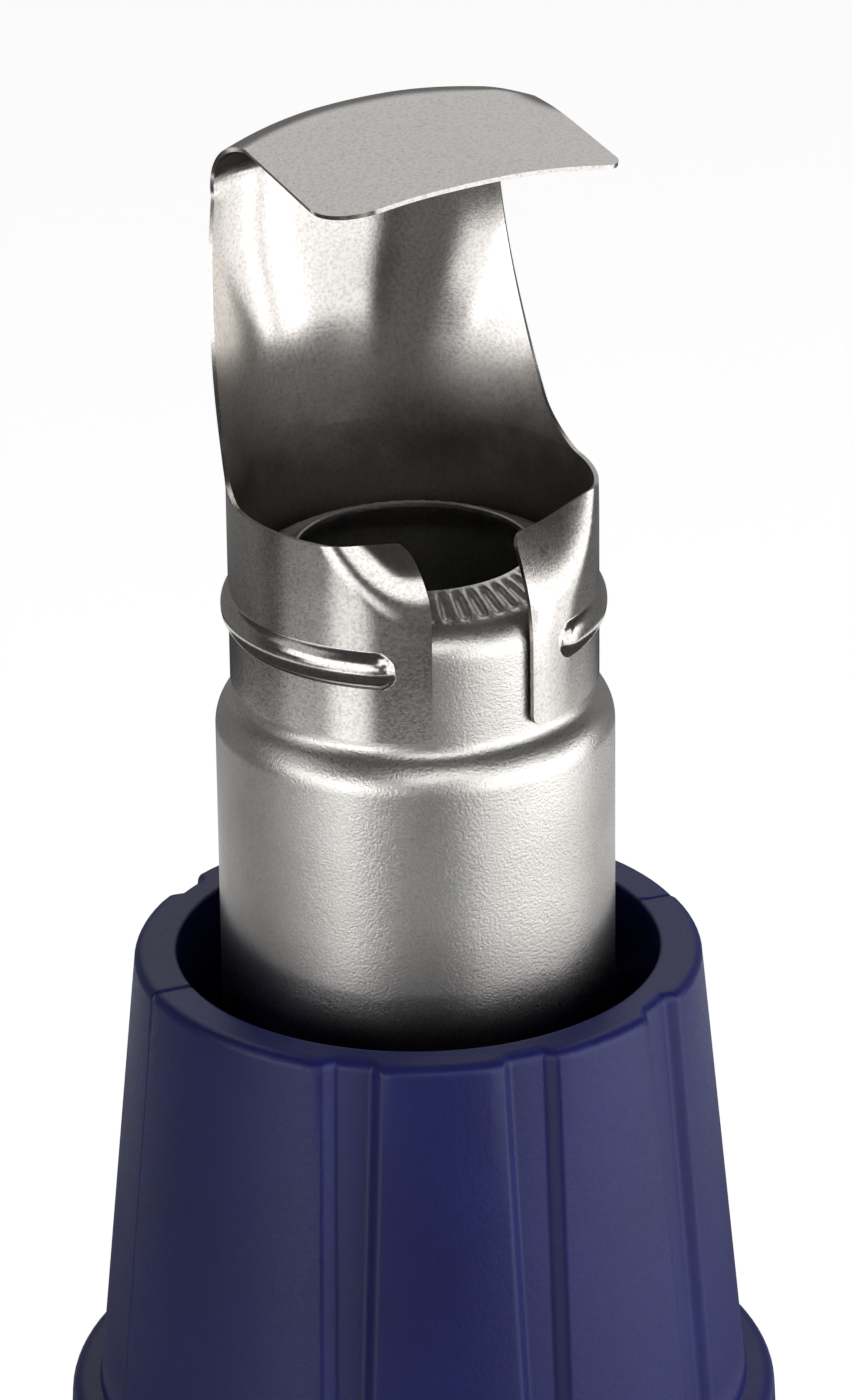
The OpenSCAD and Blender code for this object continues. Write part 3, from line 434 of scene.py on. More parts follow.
# Navy ABS from a finely etched mould: deep blue with a greyish bloom where light grazes it.
navy_abs, tree, shader, place = start_material("navy_abs_fine_etched")
etch = add(tree, "TexNoise", {}, {"Vector": place, "Scale": 1000 / 0.42, "Detail": 3.0, "Roughness": 0.65})
bloom = add(tree, "TexNoise", {}, {"Vector": place, "Scale": 1000 / 14, "Detail": 5.0})
fleck = add(tree, "MapRange", {}, {"Value": etch, **NOISE_SPAN, "To Min": -0.12, "To Max": 0.12})
navy = add(tree, "ValToRGB", {}, {"Fac": add(tree, "Math", {"operation": "ADD"}, {0: bloom, 1: fleck})})
for stop, position, colour in zip(navy.color_ramp.elements, (0.3, 0.72), ("#1a1e5a", "#212669")):
    stop.position, stop.color = position, linear(colour)
feed(tree, shader, {
    "Base Color": navy,
    "Roughness": add(tree, "MapRange", {}, {"Value": etch, **NOISE_SPAN, "To Min": 0.34, "To Max": 0.46}),
    "Normal": add(tree, "Bump", {}, {"Height": etch, "Distance": 0.028 * MM, "Strength": 0.8}),
    "IOR": 1.53})
finish_piece(halves[0], navy_abs, "housing", "navy_housing", "front_shell")
finish_piece(halves[1], navy_abs, "housing", "navy_housing", "back_shell")

# Housing screws
# Four plated thread-forming screws hold the halves, sunk in counterbores in the back half.
# Each has a low domed head with a pressed cross recess.
HEAD_R, HEAD_EDGE, SHANK_R, SHANK_Y = 2.8, 0.9, 1.45, -10
DOME_R, DOME_SUNK, DOME_DEG = 3.68, 2.4, 40.5
CROSS_HALF_L, CROSS_HALF_W = 1.7, 0.33
screws = []
for x, z in SCREW_PLACES:
    for sx in (-1, 1):
        seat = reach(x, z) - HEAD_SINK + 0.5
        edge = seat + HEAD_EDGE
        screw = lathe("screw", [(0.001, SHANK_Y), (SHANK_R, SHANK_Y), (SHANK_R, seat),
                                (HEAD_R, seat), (HEAD_R, edge)]
                      + corner(0, edge - DOME_SUNK, DOME_R, DOME_DEG, 90, 8)[:-1]
                      + [(0.001, edge + DOME_R - DOME_SUNK)], 64, "Y", (sx * x, 0, z))
        arms = []
        # Each screw came to rest at another angle.
        for turn in (20 + 31 * len(screws), 110 + 31 * len(screws)):
            arm = box_between("arm", (-CROSS_HALF_L, seat + 0.75, -CROSS_HALF_W),
                              (CROSS_HALF_L, seat + 3, CROSS_HALF_W), 0.12)
            arm.data.transform(Matrix.Translation((sx * x * MM, 0, z * MM))
                               @ Matrix.Rotation(math.radians(turn), 4, "Y"))
            arms.append(arm)
        cut(screw, *arms)
        screws.append(screw)
screws = join("shell_screws_cross_head", *screws)
smooth(screws, 30)
finish_piece(screws, zinc_plate, "housing", "plated_steel", "shell_screws")

# Switch
# The heat switch: a grey nylon slider with six thumb ridges runs in a bed in the grip.
# Its stem goes through the slot and carries the brass contact inside the switch's own case.
dress(black_abs, "switch_body")
SLIDER_H, SLIDER_EDGE, THUMB_RIDGES, THUMB_STEP, THUMB_R = 3.5, 0.9, 6, 2.8, 0.7
BED_CLEAR, DISH_DEEP, DISH_RUN, RIDGE_HALF_W = 0.1, 0.35, 6.5, 5.1


def grid_faces(rows, columns, start=0):
    """The quads of a grid whose points are numbered row by row from start."""
    return [(start + r * columns + c, start + r * columns + c + 1,
             start + (r + 1) * columns + c + 1, start + (r + 1) * columns + c)
            for r in range(rows - 1) for c in range(columns - 1)]


slider_z0, slider_z1 = SLIDER_Z - SLIDER_LEN / 2, SLIDER_Z + SLIDER_LEN / 2
ridge_z = [slider_z0 + 2 + THUMB_STEP * i for i in range(THUMB_RIDGES)]
near_edge = np.array([0, 0.01, 0.07, 0.2, 0.4, 0.65])
across = np.concatenate([near_edge - SLIDER_HALF_W, np.linspace(-5, 5, 21), SLIDER_HALF_W - near_edge[::-1]])
length = np.concatenate([slider_z0 + near_edge,
                         np.linspace(slider_z0 + SLIDER_EDGE, slider_z1 - SLIDER_EDGE, 82),
                         slider_z1 - near_edge[::-1]])
grid_y, grid_z = np.meshgrid(across, length)
edge = np.minimum(np.minimum(SLIDER_HALF_W - np.abs(grid_y), grid_z - slider_z0), slider_z1 - grid_z)
into_edge = np.clip(SLIDER_EDGE - edge, 0, SLIDER_EDGE)
rise = SLIDER_H - SLIDER_EDGE + np.sqrt(np.clip(SLIDER_EDGE ** 2 - into_edge ** 2, 0, 1))
dish = DISH_DEEP * np.exp(-((grid_z - SLIDER_Z) / DISH_RUN) ** 2)
for rz in ridge_z:
    ridge = np.sqrt(np.clip(THUMB_R ** 2 - (grid_z - rz) ** 2, 0, 1))
    rise = rise + ridge * soft_step((RIDGE_HALF_W - np.abs(grid_y)) / 0.9, 0.3) * 0.98
rise = rise - dish * soft_step((5 - np.abs(grid_y)) / 3, 0.3)
rows, columns = grid_y.shape
top = np.stack([-(BED_X + BED_CLEAR + rise), grid_y, grid_z], 2).reshape(-1, 3).tolist()
underside = np.stack([np.full_like(grid_y, -(BED_X + BED_CLEAR)), grid_y, grid_z], 2).reshape(-1, 3).tolist()
rim_loop = (list(range(columns)) + [r * columns + columns - 1 for r in range(1, rows)]
            + [(rows - 1) * columns + c for c in range(columns - 2, -1, -1)]
            + [r * columns for r in range(rows - 2, 0, -1)])
faces = grid_faces(rows, columns)
base = len(top)
faces += [(a, b, base + b, base + a) for a, b in zip(rim_loop, rim_loop[1:] + rim_loop[:1])]
faces += [tuple(base + a for a in rim_loop)]
slider = build("switch_slider_ridged", top + underside, faces)
loose = bmesh.new()
loose.from_mesh(slider.data)
bmesh.ops.delete(loose, geom=[v for v in loose.verts if not v.link_faces], context="VERTS")
loose.to_mesh(slider.data)
loose.free()
stem = box_between("stem", (-BED_X - 0.5, -STEM_HALF_W, SLIDER_Z - STEM_HALF_L),
                   (-20.4, STEM_HALF_W, SLIDER_Z + STEM_HALF_L), 0.3)
slider = join("switch_slider_ridged", slider, stem)
smooth(slider, 40)
# Nylon with a satin face: mid grey, the ridges catching a soft line of light each.
grey_nylon = grained("grey_nylon_satin", "#6c6e73", "#7b7d82", 5, 0.3, 0.012, 0.0, 0.42)
finish_piece(slider, grey_nylon, "switch", "grey_slider", "switch_slider")

# Cord gland and clamp
# A rubber gland fills the hole between the halves where the mains cord comes out, opposite the switch.
# Inside, a moulded clamp and two screws hold the cord; the cord itself isn't part of this model.
gland = lathe("cord_gland_rubber",
              [(3.3, 24), (GLAND_R + 1.4, 24), (GLAND_R + 1.4, 26), (GLAND_R, 26.1), (GLAND_R, 29.8)]
              + corner(GLAND_R - 0.8, 30.1, 0.8, 0, 90) + corner(4.1, 30.1, 0.8, 90, 180) + [(3.3, 30)],
              96, "X", (0, 0, GLAND_Z))
smooth(gland)
finish_piece(gland, nitrile, "housing", "black_rubber", "cord_gland")
dress(black_abs, "cord_clamp")

# Nozzle tube
# Stainless steel tube, drawn in to a neck for clip-on nozzles and crimped inwards to a fluted lip.
# It was bead blasted after forming: warm light grey, soft broad highlights and a fine even speckle.
TUBE_R, TUBE_WALL, NECK_R, MOUTH_R, LIP_EDGE, LIP_SLOPE = 16.5, 0.6, 14.8, 9.6, 3.2, 25.0
MOUTH_Z, SHOULDER_Z, FLANGE_Z = RIM_Z + 36, RIM_Z + 20.5, 127.0
FLANGE_R, FLANGE_TOP = 19.8, 128.0
SHOULDER_ARC, SHOULDER_FILLET = 3.87, 1.6
FLUTES, FLUTE_DEPTH, FLUTE_IN_R, FLUTE_OUT_R = 54, 0.36, 10.25, 12.7
turn = math.degrees(math.acos(1 - (TUBE_R - NECK_R) / (SHOULDER_ARC + SHOULDER_FILLET)))
shoulder_rise = (SHOULDER_ARC + SHOULDER_FILLET) * math.sin(math.radians(turn))
lip_turn = math.radians(90 - LIP_SLOPE)
lip_fall = math.tan(math.radians(LIP_SLOPE))
lip_foot_r = NECK_R - LIP_EDGE * (1 - math.cos(lip_turn))
lip_edge_z = MOUTH_Z - (lip_foot_r - MOUTH_R) * lip_fall - LIP_EDGE * math.sin(lip_turn)


def tube_side(inset):
    """The tube's profile from the shoulder to the mouth, offset inwards by inset."""
    return (corner(TUBE_R - SHOULDER_ARC, SHOULDER_Z, SHOULDER_ARC - inset, 0, turn, 10)
            + corner(NECK_R + SHOULDER_FILLET, SHOULDER_Z + shoulder_rise, SHOULDER_FILLET + inset,
                     180 + turn, 180, 6)
            + [(NECK_R - inset, SHOULDER_Z + shoulder_rise + 0.8), (NECK_R - inset, lip_edge_z - 0.6)]
            + corner(NECK_R - LIP_EDGE, lip_edge_z, LIP_EDGE - inset, 0, 90 - LIP_SLOPE, 14)
            + [(r, MOUTH_Z - (r - MOUTH_R) * lip_fall - inset / math.cos(math.radians(LIP_SLOPE)))
               for r in np.arange(12.75, 9.8, -0.15)])


tube_outline = [(FLANGE_R, FLANGE_Z), (FLANGE_R, FLANGE_TOP), (TUBE_R + 0.4, FLANGE_TOP),
                (TUBE_R, FLANGE_TOP + 0.4), (TUBE_R, RIM_Z - 4)] + tube_side(0) \
    + [(MOUTH_R + 0.13, MOUTH_Z - 0.09), (MOUTH_R + 0.02, MOUTH_Z - 0.2), (MOUTH_R, MOUTH_Z - 0.34),
       (MOUTH_R, MOUTH_Z - TUBE_WALL)] \
    + tube_side(TUBE_WALL)[::-1] + [(TUBE_R - TUBE_WALL, RIM_Z - 4), (TUBE_R - TUBE_WALL, FLANGE_Z)]
tube = lathe("nozzle_tube_blasted", tube_outline, FLUTES * 16)
for v in tube.data.vertices:
    x, y, z = (c / MM for c in v.co)
    r = math.hypot(x, y)
    if z > MOUTH_Z - 2.8 and FLUTE_IN_R - 0.4 < r < FLUTE_OUT_R + 0.4:
        window = float(soft_step((FLUTE_OUT_R + 0.25 - r) / 0.5, 0.35)
                       * soft_step((r - FLUTE_IN_R + 0.25) / 0.7, 0.35))
        wave = float(soft_step(0.5 + 0.85 * math.cos(FLUTES * math.atan2(y, x)), 0.4)) - 0.25
        v.co.z -= FLUTE_DEPTH * window * wave * MM
smooth(tube, 34)

blasted_steel, tree, shader, place = start_material("stainless_bead_blasted")
speckle = add(tree, "TexNoise", {}, {"Vector": place, "Scale": 1000 / 0.22, "Detail": 2.0, "Roughness": 0.6})
drift = add(tree, "TexNoise", {}, {"Vector": place, "Scale": 1000 / 9, "Detail": 3.0})
both = add(tree, "Math", {"operation": "ADD"}, {0: speckle, 1: drift})
steel = add(tree, "ValToRGB", {}, {"Fac": add(tree, "Math", {"operation": "MULTIPLY"}, {0: both, 1: 0.5})})
for stop, position, colour in zip(steel.color_ramp.elements, (0.36, 0.64), ("#dad6d1", "#f6f4f0")):
    stop.position, stop.color = position, linear(colour)
# The tube's foot is painted darker, as shade, from just above the housing's rim down inside it.
SMOOTH = {"interpolation_type": "SMOOTHSTEP"}
height = add(tree, "SeparateXYZ", {}, {0: place}).outputs["Z"]
painted_foot_shade = add(tree, "MapRange", SMOOTH, {"Value": height, "From Min": (RIM_Z + 10) * MM,
                                       "From Max": (RIM_Z - 1) * MM, "To Max": 0.85})
painted_shade_mix = add(tree, "Mix", {"data_type": "RGBA"}, {"Factor": painted_foot_shade, 6: steel, 7: linear("#4d4844")})
feed(tree, shader, {
    "Base Color": painted_shade_mix.outputs[2],
    "Roughness": add(tree, "MapRange", {}, {"Value": speckle, **NOISE_SPAN, "To Min": 0.27, "To Max": 0.36}),
    "Normal": add(tree, "Bump", {}, {"Height": speckle, "Distance": 0.036 * MM, "Strength": 0.9}),
    "Metallic": 1.0})
finish_piece(tube, blasted_steel, "housing", "blasted_steel", "nozzle_tube")

# Clip-on reflector
# One piece of thin stainless sheet: an open collar with a rolled bead springs round the neck, the back
# is drawn up into a wall, and the top is bent forwards into a hood that turns the air back on the work.
SHEET_T = 0.37
SHEET_R = NECK_R + 0.03 + SHEET_T / 2
COLLAR_Z0, COLLAR_Z1, BEAD_Z = RIM_Z + 24.9, RIM_Z + 41.4, RIM_Z + 31.2
BEAD_HALF_W, BEAD_PROUD, BEAD_END_DEG = 1.5, 0.65, 34.0
GAP_HALF_W, TAB_CORNER, FOOT_CORNER = 4.25, 1.4, 0.9
# Each folded front corner: where its fold runs, how it bends, how far it comes down, its edge at the gap.
LEFT_FOLD_END, LEFT_FOLD_Z, LEFT_ROLL, LEFT_DROP = 51.0, RIM_Z + 35, 0.067, 0.055
LEFT_EDGE_X, LEFT_EDGE_CREEP = 4.42, 0.3
RIGHT_FOLD_DEG, RIGHT_FOLD_LEAN, RIGHT_FOLD_R, RIGHT_DROP, FOLD_SOFT = 27.6, 22.7, 12.35, 0.095, 0.5
RIGHT_EDGE_X, RIGHT_EDGE_CREEP = 4.1, -0.19
SPRING_OUT, SPRING_RUN, SPRING_TOP_Z = 0.32, 3.0, RIM_Z + 36
WALL_EDGE_DEG, WALL_FILLET, WALL_TOP_Z, WALL_TOP_SAG = 76.0, 3.3, RIM_Z + 64.2, 3.8
HOOD_HALF_W, HOOD_SAG, HOOD_REACH = 12.5, 1.3, 14.5
LEFT_CORNER, RIGHT_CORNER = 4.4, 1.9
BEND_F, HOOD_TWIST, HOOD_FALL = -3.5, 0.06, 0.7
BEND_RISE = RIM_Z + 72.75 - SHEET_T / 2 - WALL_TOP_Z
WAVE_MM, EDGE_DIP, EDGE_DIP_X = 0.07, 0.055, 9

joint_deg = WALL_EDGE_DEG + math.degrees(WALL_FILLET / SHEET_R)
back_columns = np.linspace(-joint_deg, joint_deg, 141)
gap_deg = math.degrees(math.asin(GAP_HALF_W / SHEET_R))
tab_arc = math.radians(180 - gap_deg - joint_deg) * SHEET_R
tab_steps = np.concatenate([[0, 0.05, 0.14, 0.28, 0.45, 0.65, 0.9, 1.2, 1.5, 1.85, 2.3],
                            np.arange(2.5, 13.9, 0.2), np.arange(14.1, tab_arc, 0.4)])
tab_degs = 180 - gap_deg - np.degrees(tab_steps / SHEET_R)
collar_degs = np.concatenate([-tab_degs, back_columns, tab_degs[::-1]])
collar_rows = np.concatenate([COLLAR_Z0 + np.array([0, 0.12, 0.3, 0.55, 0.9, 1.4, 1.9, 2.6, 3.4]),
                              np.arange(BEAD_Z - 2.4, BEAD_Z + 2.45, 0.15),
                              np.arange(BEAD_Z + 2.7, COLLAR_Z1 - 2.5, 0.25),
                              COLLAR_Z1 - np.array([2.4, 2, 1.6, 1.25, 0.95, 0.7, 0.5, 0.33, 0.2, 0.09, 0])])
bead_arc = (BEAD_HALF_W ** 2 + BEAD_PROUD ** 2) / (2 * BEAD_PROUD)

back_deg, z = np.meshgrid(collar_degs, collar_rows)
front_deg = 180 - np.abs(back_deg)
from_edge = np.maximum(0, np.radians(front_deg - gap_deg) * SHEET_R)


def corner_drop(e, r):
    """How far a corner of radius r falls away at a distance e from the side edge."""
    short = np.clip(r - e, 0, r)
    return r - np.sqrt(r * r - short ** 2)


low_share = np.clip((COLLAR_Z0 + 1.9 - z) / 1.9, 0, 1)
high_share = np.clip((z - COLLAR_Z1 + 2.6) / 2.6, 0, 1)
z = z + corner_drop(from_edge, FOOT_CORNER) * low_share - corner_drop(from_edge, TAB_CORNER) * high_share
to_bead = np.hypot(z - BEAD_Z, np.maximum(0, np.radians(BEAD_END_DEG - front_deg) * SHEET_R))
proud = np.sqrt(np.clip(bead_arc ** 2 - to_bead ** 2, 0, None)) - (bead_arc - BEAD_PROUD)
proud = np.where(to_bead < bead_arc, np.clip(proud, 0, None), 0)
# Each front corner is folded in over the lip. The left one rolls in, the right one is a flatter flap.
round_deg = np.where(back_deg > 0, front_deg, -front_deg)
left = round_deg < 0
far = np.clip((front_deg - gap_deg) / (LEFT_FOLD_END - gap_deg), 0, 1.2)
rolled = z - (LEFT_FOLD_Z + (COLLAR_Z1 - LEFT_FOLD_Z) * far ** 2.2)
left_lean = LEFT_ROLL * np.clip(rolled + 0.4, 0, None) ** 2
off = np.radians(round_deg - RIGHT_FOLD_DEG)
flat_r = RIGHT_FOLD_R + (COLLAR_Z1 - z) * math.tan(math.radians(RIGHT_FOLD_LEAN))
short = SHEET_R - flat_r / np.maximum(np.cos(off), 0.2)
right_lean = (short + np.sqrt(short ** 2 + FOLD_SOFT ** 2)) / 2 * np.clip((short + 2.4) / 1.8, 0, 1)
lean = np.where(left, left_lean, right_lean)
# A folded corner comes down as it comes in.
z = z - np.where(left, LEFT_DROP, RIGHT_DROP) * lean ** 2
# Below its fold, the right end stands a little off the neck.
spring = SPRING_OUT * np.exp(-from_edge / SPRING_RUN) * ~left * np.clip((SPRING_TOP_Z - z) / 3, 0, 1)
radius = SHEET_R + proud - lean + spring
# Folding keeps the gap's edge almost in its own plane, so a column moves round as it moves in.
edge_x = np.where(left, LEFT_EDGE_X + LEFT_EDGE_CREEP * np.clip(lean - 0.3, 0, None),
                  RIGHT_EDGE_X + RIGHT_EDGE_CREEP * lean)
turned_in = np.degrees(edge_x / radius - GAP_HALF_W / SHEET_R) * np.exp(-from_edge / 5)
angle = np.radians(round_deg + np.sign(round_deg) * turned_in)
collar = np.stack([radius * np.sin(angle), -radius * np.cos(angle), z], 2)

# The wall, bend and hood in cross-sections: how far forward, how high, tilt, half width and sag.
stations = []
wall_edge = math.radians(WALL_EDGE_DEG)
foot_w, foot_sag = SHEET_R * math.sin(wall_edge), SHEET_R * (1 - math.cos(wall_edge))
wall_rows = np.concatenate([COLLAR_Z1 + WALL_FILLET * (1 - np.cos(np.radians(np.linspace(0, 90, 14)))),
                            np.linspace(COLLAR_Z1 + WALL_FILLET, WALL_TOP_Z, 40)[1:]])
for height in wall_rows:
    rest = 1 - (height - COLLAR_Z1) / (WALL_TOP_Z - COLLAR_Z1)
    stations.append((-SHEET_R, height, 0.0, HOOD_HALF_W + (foot_w - HOOD_HALF_W) * rest,
                     WALL_TOP_SAG + (foot_sag - WALL_TOP_SAG) * rest ** 2))
for a in np.linspace(0, 90, 32)[1:]:
    t = math.radians(a)
    stations.append((BEND_F - (SHEET_R + BEND_F) * math.cos(t), WALL_TOP_Z + BEND_RISE * math.sin(t), t,
                     HOOD_HALF_W, WALL_TOP_SAG + (HOOD_SAG - WALL_TOP_SAG) * a / 90))
for t in np.sin(np.radians(np.linspace(0, 90, 44)[1:])):
    forward = BEND_F + (HOOD_REACH - BEND_F) * t
    stations.append((forward, WALL_TOP_Z + BEND_RISE - HOOD_FALL * t, math.pi / 2, HOOD_HALF_W, HOOD_SAG))
sheet_rows = []
places = back_columns / joint_deg
for forward, height, tilt, half_w, sag in stations:
    rho = (half_w ** 2 + sag ** 2) / (2 * sag)
    d = min(WALL_FILLET, max(0, height - COLLAR_Z1))
    flare_out = WALL_FILLET - math.sqrt(WALL_FILLET ** 2 - (WALL_FILLET - d) ** 2)
    a = (math.atan2(half_w, rho - sag) + flare_out / rho) * places
    # The hood's two front corners are cut round, the left one more than the right.
    for side, round_r in ((-1, LEFT_CORNER), (1, RIGHT_CORNER)):
        into = max(0, forward - HOOD_REACH + round_r)
        lost = round_r - math.sqrt(max(0, round_r ** 2 - into ** 2))
        a = np.where(places * side > 0, a * (1 - lost / half_w), a)
    depth = rho * (np.cos(a) - 1)
    x = rho * np.sin(a)
    sheet_rows.append(np.stack([x, -(forward - depth * math.cos(tilt)),
                                height + depth * math.sin(tilt) + HOOD_TWIST * x * math.sin(tilt) ** 2], 1))
wall = np.array(sheet_rows)
# Hand forming leaves shallow waves in the wall and hood.
wave = WAVE_MM * (np.sin(wall[..., 0] * 0.42 + wall[..., 2] * 0.23 + 0.6)
                  * np.sin(wall[..., 2] * 0.31 - wall[..., 0] * 0.12 + 1.1))
settle_in = np.clip((np.arange(len(wall)) - 2) / 10, 0, 1)[:, None]
wall[..., 1] += wave * settle_in * 0.8
# The hood's right edge is pulled down a little just past the bend.
past_bend = np.exp(-((wall[..., 1] - 6) / 5) ** 2) * (wall[..., 2] > WALL_TOP_Z + 4)
wall[..., 2] -= EDGE_DIP * np.clip(wall[..., 0] - EDGE_DIP_X, 0, None) ** 2 * past_bend
wall[..., 2] += np.minimum(wave, 0) * settle_in * 0.3

points = collar.reshape(-1, 3).tolist() + wall.reshape(-1, 3).tolist()
faces = grid_faces(*back_deg.shape) + grid_faces(len(wall), len(back_columns), back_deg.size)
reflector = build("reflector_sheet", points, faces)
thick = reflector.modifiers.new("thick", "SOLIDIFY")
thick.thickness, thick.offset, thick.use_even_offset = SHEET_T * MM, 0.0, True
settle(reflector)
smooth(reflector, 50)

# Bright-rolled stainless that has been handled: near mirror, with fine pits and smears, and painted shade low
# on the inside of its wall.
bright_sheet, tree, shader, place = start_material("stainless_sheet_handled")
smear = add(tree, "TexNoise", {}, {"Vector": place, "Scale": 1000 / 6, "Detail": 6.0, "Roughness": 0.62})
pits = add(tree, "TexNoise", {}, {"Vector": place, "Scale": 1000 / 0.3, "Detail": 3.0, "Roughness": 0.75})
grey = add(tree, "ValToRGB", {}, {"Fac": pits})
for stop, position, colour in zip(grey.color_ramp.elements, (0.3, 0.55), ("#bdb9b4", "#dedad6")):
    stop.position, stop.color = position, linear(colour)
where = add(tree, "SeparateXYZ", {}, {0: place})
outwards = add(tree, "CombineXYZ", {}, {0: where.outputs["X"], 1: where.outputs["Y"]})
face_out = add(tree, "NewGeometry", {}, {}).outputs["Normal"]
facing = add(tree, "VectorMath", {"operation": "DOT_PRODUCT"}, {0: face_out, 1: outwards})
inner_side = add(tree, "MapRange", {}, {"Value": facing.outputs["Value"], "From Min": 0.002,
                                        "From Max": -0.002})
uneven_z = add(tree, "Math", {"operation": "MULTIPLY_ADD"}, {0: smear, 1: 0.012, 2: where.outputs["Z"]})
# The inside of the wall just above the outlet is painted a dark grey-brown, as shade.
brown = add(tree, "MapRange", SMOOTH, {"Value": uneven_z, "From Min": (RIM_Z + 57) * MM,
                                       "From Max": (RIM_Z + 42) * MM, "To Max": 0.78})
painted_wall_shade = add(tree, "Math", {"operation": "MULTIPLY"}, {0: brown, 1: inner_side})
painted_shade_mix = add(tree, "Mix", {"data_type": "RGBA"}, {"Factor": painted_wall_shade, 6: grey, 7: linear("#4a4541")})
# Where that painted shade lies the sheet is dull too, and the dull part reaches a little higher.
dull = add(tree, "MapRange", SMOOTH, {"Value": uneven_z, "From Min": (RIM_Z + 58) * MM,
                                      "From Max": (RIM_Z + 47) * MM, "To Max": 0.3})
dulled = add(tree, "Math", {"operation": "MULTIPLY"}, {0: dull, 1: inner_side})
satin = add(tree, "MapRange", {}, {"Value": smear, **NOISE_SPAN, "To Min": 0.11, "To Max": 0.19})
feed(tree, shader, {
    "Base Color": painted_shade_mix.outputs[2],
    "Roughness": add(tree, "Math", {"operation": "ADD"}, {0: satin, 1: dulled}),
    "Normal": add(tree, "Bump", {}, {"Height": pits, "Distance": 0.009 * MM, "Strength": 0.6}),
    "Metallic": 1.0})
finish_piece(reflector, bright_sheet, "reflector", "reflector_sheet", "reflector_nozzle")

# Floor
# A plain pale table top, so large that it fills the picture behind the tool.
floor = box_between("floor", (-2500, -2500, -12), (2500, 2500, 0))
table_top, tree, shader, place = start_material("pale_table_top")
feed(tree, shader, {"Base Color": linear("#f4f4f4"), "Roughness": 0.9})
# The camera sees it a little brighter than the studio lights it.
camera_ray = add(tree, "LightPath", {}, {}).outputs["Is Camera Ray"]
glow = add(tree, "Math", {"operation": "MULTIPLY"}, {0: camera_ray, 1: 0.8})
lit = add(tree, "Emission", {}, {"Color": (1, 1, 1, 1), "Strength": glow})
output = next(n for n in tree.nodes if n.type == "OUTPUT_MATERIAL")
feed(tree, output, {"Surface": add(tree, "AddShader", {}, {0: shader, 1: lit})})
floor.data.materials.append(table_top)

# Studio wrap
# The soft boxes round the tool and the dark gaps between them, as the metal sees them.
# One ring wall carries them all. Only reflections meet it, and its lid is the dark ceiling.
VIEW_DEG = -22.5
WRAP_R, WRAP_TOP, WRAP_SIDES = 400, 900, 96
# Its outline runs just over the table, up the wall and in again as a lid.
WRAP_OUTLINE = ((70, 3), (WRAP_R, 3), (WRAP_R, WRAP_TOP), (1, WRAP_TOP))
wrap_points = [[r * math.cos(2 * math.pi * i / WRAP_SIDES), r * math.sin(2 * math.pi * i / WRAP_SIDES), h]
               for r, h in WRAP_OUTLINE for i in range(WRAP_SIDES)]
wrap = build("studio_wrap", wrap_points, [
    (WRAP_SIDES * k + i, WRAP_SIDES * k + (i + 1) % WRAP_SIDES,
     WRAP_SIDES * (k + 1) + (i + 1) % WRAP_SIDES, WRAP_SIDES * (k + 1) + i)
    for k in range(len(WRAP_OUTLINE) - 1) for i in range(WRAP_SIDES)])
cards = bpy.data.materials.new("boxes_and_flags")
cards.use_nodes = True
tree = cards.node_tree
tree.nodes.clear()
spot = add(tree, "SeparateXYZ", {}, {0: add(tree, "TexCoord", {}, {}).outputs["Object"]})
# Angle to the right of the camera's side: 0 is where the camera stands, +90 to its right.
ahead = add(tree, "Math", {"operation": "MULTIPLY"}, {0: spot.outputs["Y"], 1: -1.0})
bearing = add(tree, "Math", {"operation": "ARCTAN2"}, {0: spot.outputs["X"], 1: ahead})


def card(centre, half, soft, low, high, soft_mm, level):
    """A soft-edged box of light: bearings in degrees, heights in millimetres; returns its light."""
    off = add(tree, "Math", {"operation": "SUBTRACT"}, {0: bearing, 1: math.radians(centre + VIEW_DEG)})
    off = add(tree, "Math", {"operation": "WRAP"}, {0: off, 1: math.pi, 2: -math.pi})
    off = add(tree, "Math", {"operation": "ABSOLUTE"}, {0: off})
    light = add(tree, "MapRange", SMOOTH, {"Value": off, "From Min": math.radians(half + soft),
                                           "From Max": math.radians(half - soft), "To Max": level})
    for edge, soft_in in ((low, soft_mm), (high, -soft_mm)):
        if edge is not None:
            side = add(tree, "MapRange", SMOOTH, {"Value": spot.outputs["Z"],
                                                  "From Min": (edge - soft_in) * MM,
                                                  "From Max": (edge + soft_in) * MM})
            light = add(tree, "Math", {"operation": "MULTIPLY"}, {0: light, 1: side})
    return light


# Centre, half width and softness in degrees; bottom, top and softness in millimetres; level.
BOXES = (
    (0, 180, 1, 10, 38, 7, 0.80),         # the lit table in front and round the sides
    (-60, 28, 10, 10, 60, 8, 0.34),       # its glow under the left box
    (-41, 13, 7, 10, 60, 8, 0.74),
    (-41, 13, 7, 10, 39, 6, 0.60),
    (71, 31, 12, 10, 60, 8, 0.88),        # its glow under the right box
    (118, 24, 28, 10, 60, 8, 0.40),
    (55, 25, 4, 62, 400, 12, 1.35),       # right box, upright
    (80, 14, 4, 62, 262, 6, 0.8),
    (98, 12, 3, 62, 195, 12, 1.2),        # its return towards the back
    (98, 13, 3, 195, 288, 4, 1.6),
    (29, 11, 6, 185, 250, 10, 0.9),
    (-38, 11, 5, 62, 105, 12, 0.9),       # left box, low
    (-45, 19, 4, 105, 200, 10, 1.4),
    (-50, 27, 6, 196, 315, 10, 1.7),      # left box, raised
    (-19, 11, 4, 150, 235, 10, 1.25),
    (16, 22, 6, 356, 545, 12, 1.45),       # box over the camera
    (-3, 13, 4, 316, 362, 8, 1.2),
    (-74, 12, 6, 60, 120, 15, 0.12),
    (-72, 17, 8, 315, 540, 25, 0.5),
    (180, 42, 14, 325, None, 25, 0.60),   # bright backdrop above the horizon
    (180, 78, 12, 62, 325, 10, 0.1),
    (0, 18, 8, 75, 270, 20, 0.08),
)
DARK_STUDIO = 0.05
total = card(0, 180, 1, None, None, 1, DARK_STUDIO)
for box in BOXES:
    total = add(tree, "Math", {"operation": "ADD"}, {0: total, 1: card(*box)})
glow = add(tree, "Emission", {}, {"Color": (1, 1, 1, 1), "Strength": total})
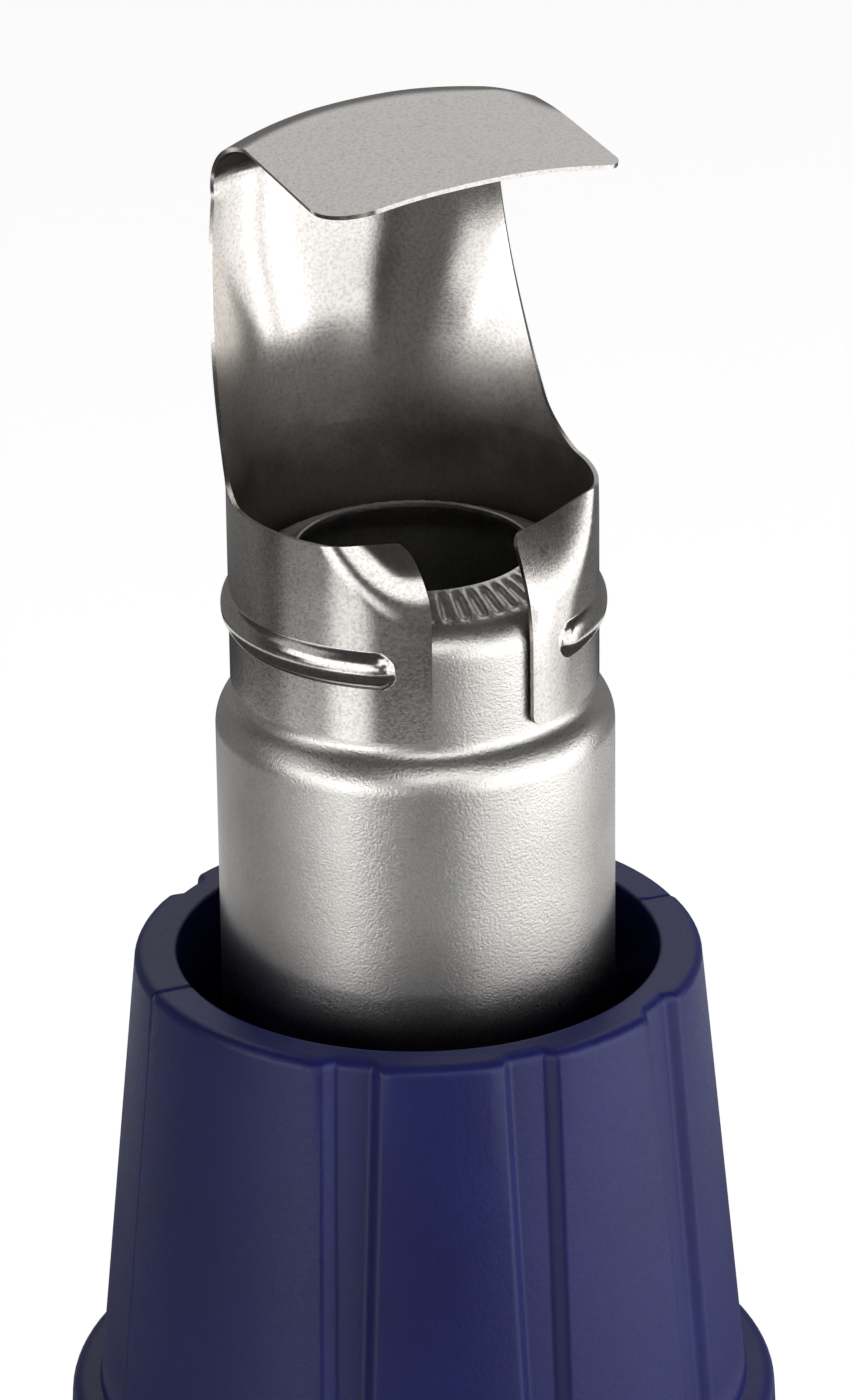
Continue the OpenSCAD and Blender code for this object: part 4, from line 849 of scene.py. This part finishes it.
add(tree, "OutputMaterial", {}, {"Surface": glow})
cards.cycles.emission_sampling = "NONE"
wrap.data.materials.append(cards)
wrap.visible_camera = wrap.visible_diffuse = wrap.visible_transmission = False
wrap.visible_shadow = wrap.visible_volume_scatter = False

# Lamps, world and camera
# Soft lamps light the plastic: a large one to the camera's right, a weaker one to its left, one above.
# The camera looks down on the nozzle from the front, as in a catalogue close-up.


def towards(azimuth, elevation):
    """The direction out from the tool, with azimuth counted from the camera's side to its right."""
    a, e = math.radians(azimuth + VIEW_DEG), math.radians(elevation)
    return Vector((math.sin(a) * math.cos(e), -math.cos(a) * math.cos(e), math.sin(e)))


def lamp(name, azimuth, elevation, distance_mm, size_mm, watts):
    """An area lamp aimed at the nozzle, which lights surfaces but isn't seen in them."""
    data = bpy.data.lights.new(name, "AREA")
    data.shape, data.size, data.energy = "DISK", size_mm * MM, watts
    made = bpy.data.objects.new(name, data)
    aim = Vector((0, 0, (RIM_Z + 10) * MM))
    made.location = aim + towards(azimuth, elevation) * distance_mm * MM
    made.rotation_euler = (made.location - aim).to_track_quat("Z", "Y").to_euler()
    made.visible_glossy = False
    bpy.context.scene.collection.objects.link(made)


lamp("right_box", 62, 17, 700, 420, 3.0)
lamp("left_box", -62, 14, 700, 380, 0.95)
lamp("top_box", 20, 78, 700, 420, 0.15)

world = bpy.data.worlds.new("studio")
bpy.context.scene.world = world
world.use_nodes = True
tree = world.node_tree
tree.nodes.clear()
# The world is plain white wherever it is seen, and a weak even fill for the rest.
path = add(tree, "LightPath", {}, {})
seen = path.outputs["Is Camera Ray"]
for ray in ("Is Glossy Ray", "Is Transmission Ray"):
    seen = add(tree, "Math", {"operation": "MAXIMUM"}, {0: seen, 1: path.outputs[ray]})
strength = add(tree, "MapRange", {}, {"Value": seen, "To Min": 0.09, "To Max": 1.0})
sky = add(tree, "Background", {}, {"Color": (1, 1, 1, 1), "Strength": strength})
add(tree, "OutputWorld", {}, {"Surface": sky})

CAMERA_UP_DEG, CAMERA_AWAY, CAMERA_RIGHT = 23.73, 570.3, 0.9
CAMERA_AIM_Z, ROLL_DEG, LENS_MM = RIM_Z + 22.1, -0.686, 177.9
camera_data = bpy.data.cameras.new("camera")
camera = bpy.data.objects.new("camera", camera_data)
bpy.context.scene.collection.objects.link(camera)
bpy.context.scene.camera = camera
camera_data.lens, camera_data.sensor_width, camera_data.clip_start = LENS_MM, 36.0, 0.01
back = towards(0, CAMERA_UP_DEG)
facing = back.to_track_quat("Z", "Y").to_matrix().to_4x4()
right = facing.to_3x3() @ Vector((1, 0, 0))
eye = Vector((0, 0, CAMERA_AIM_Z * MM)) + back * CAMERA_AWAY * MM + right * CAMERA_RIGHT * MM
camera.matrix_world = Matrix.Translation(eye) @ facing @ Matrix.Rotation(math.radians(ROLL_DEG), 4, "Z")

bpy.context.scene.view_settings.view_transform = "Standard"
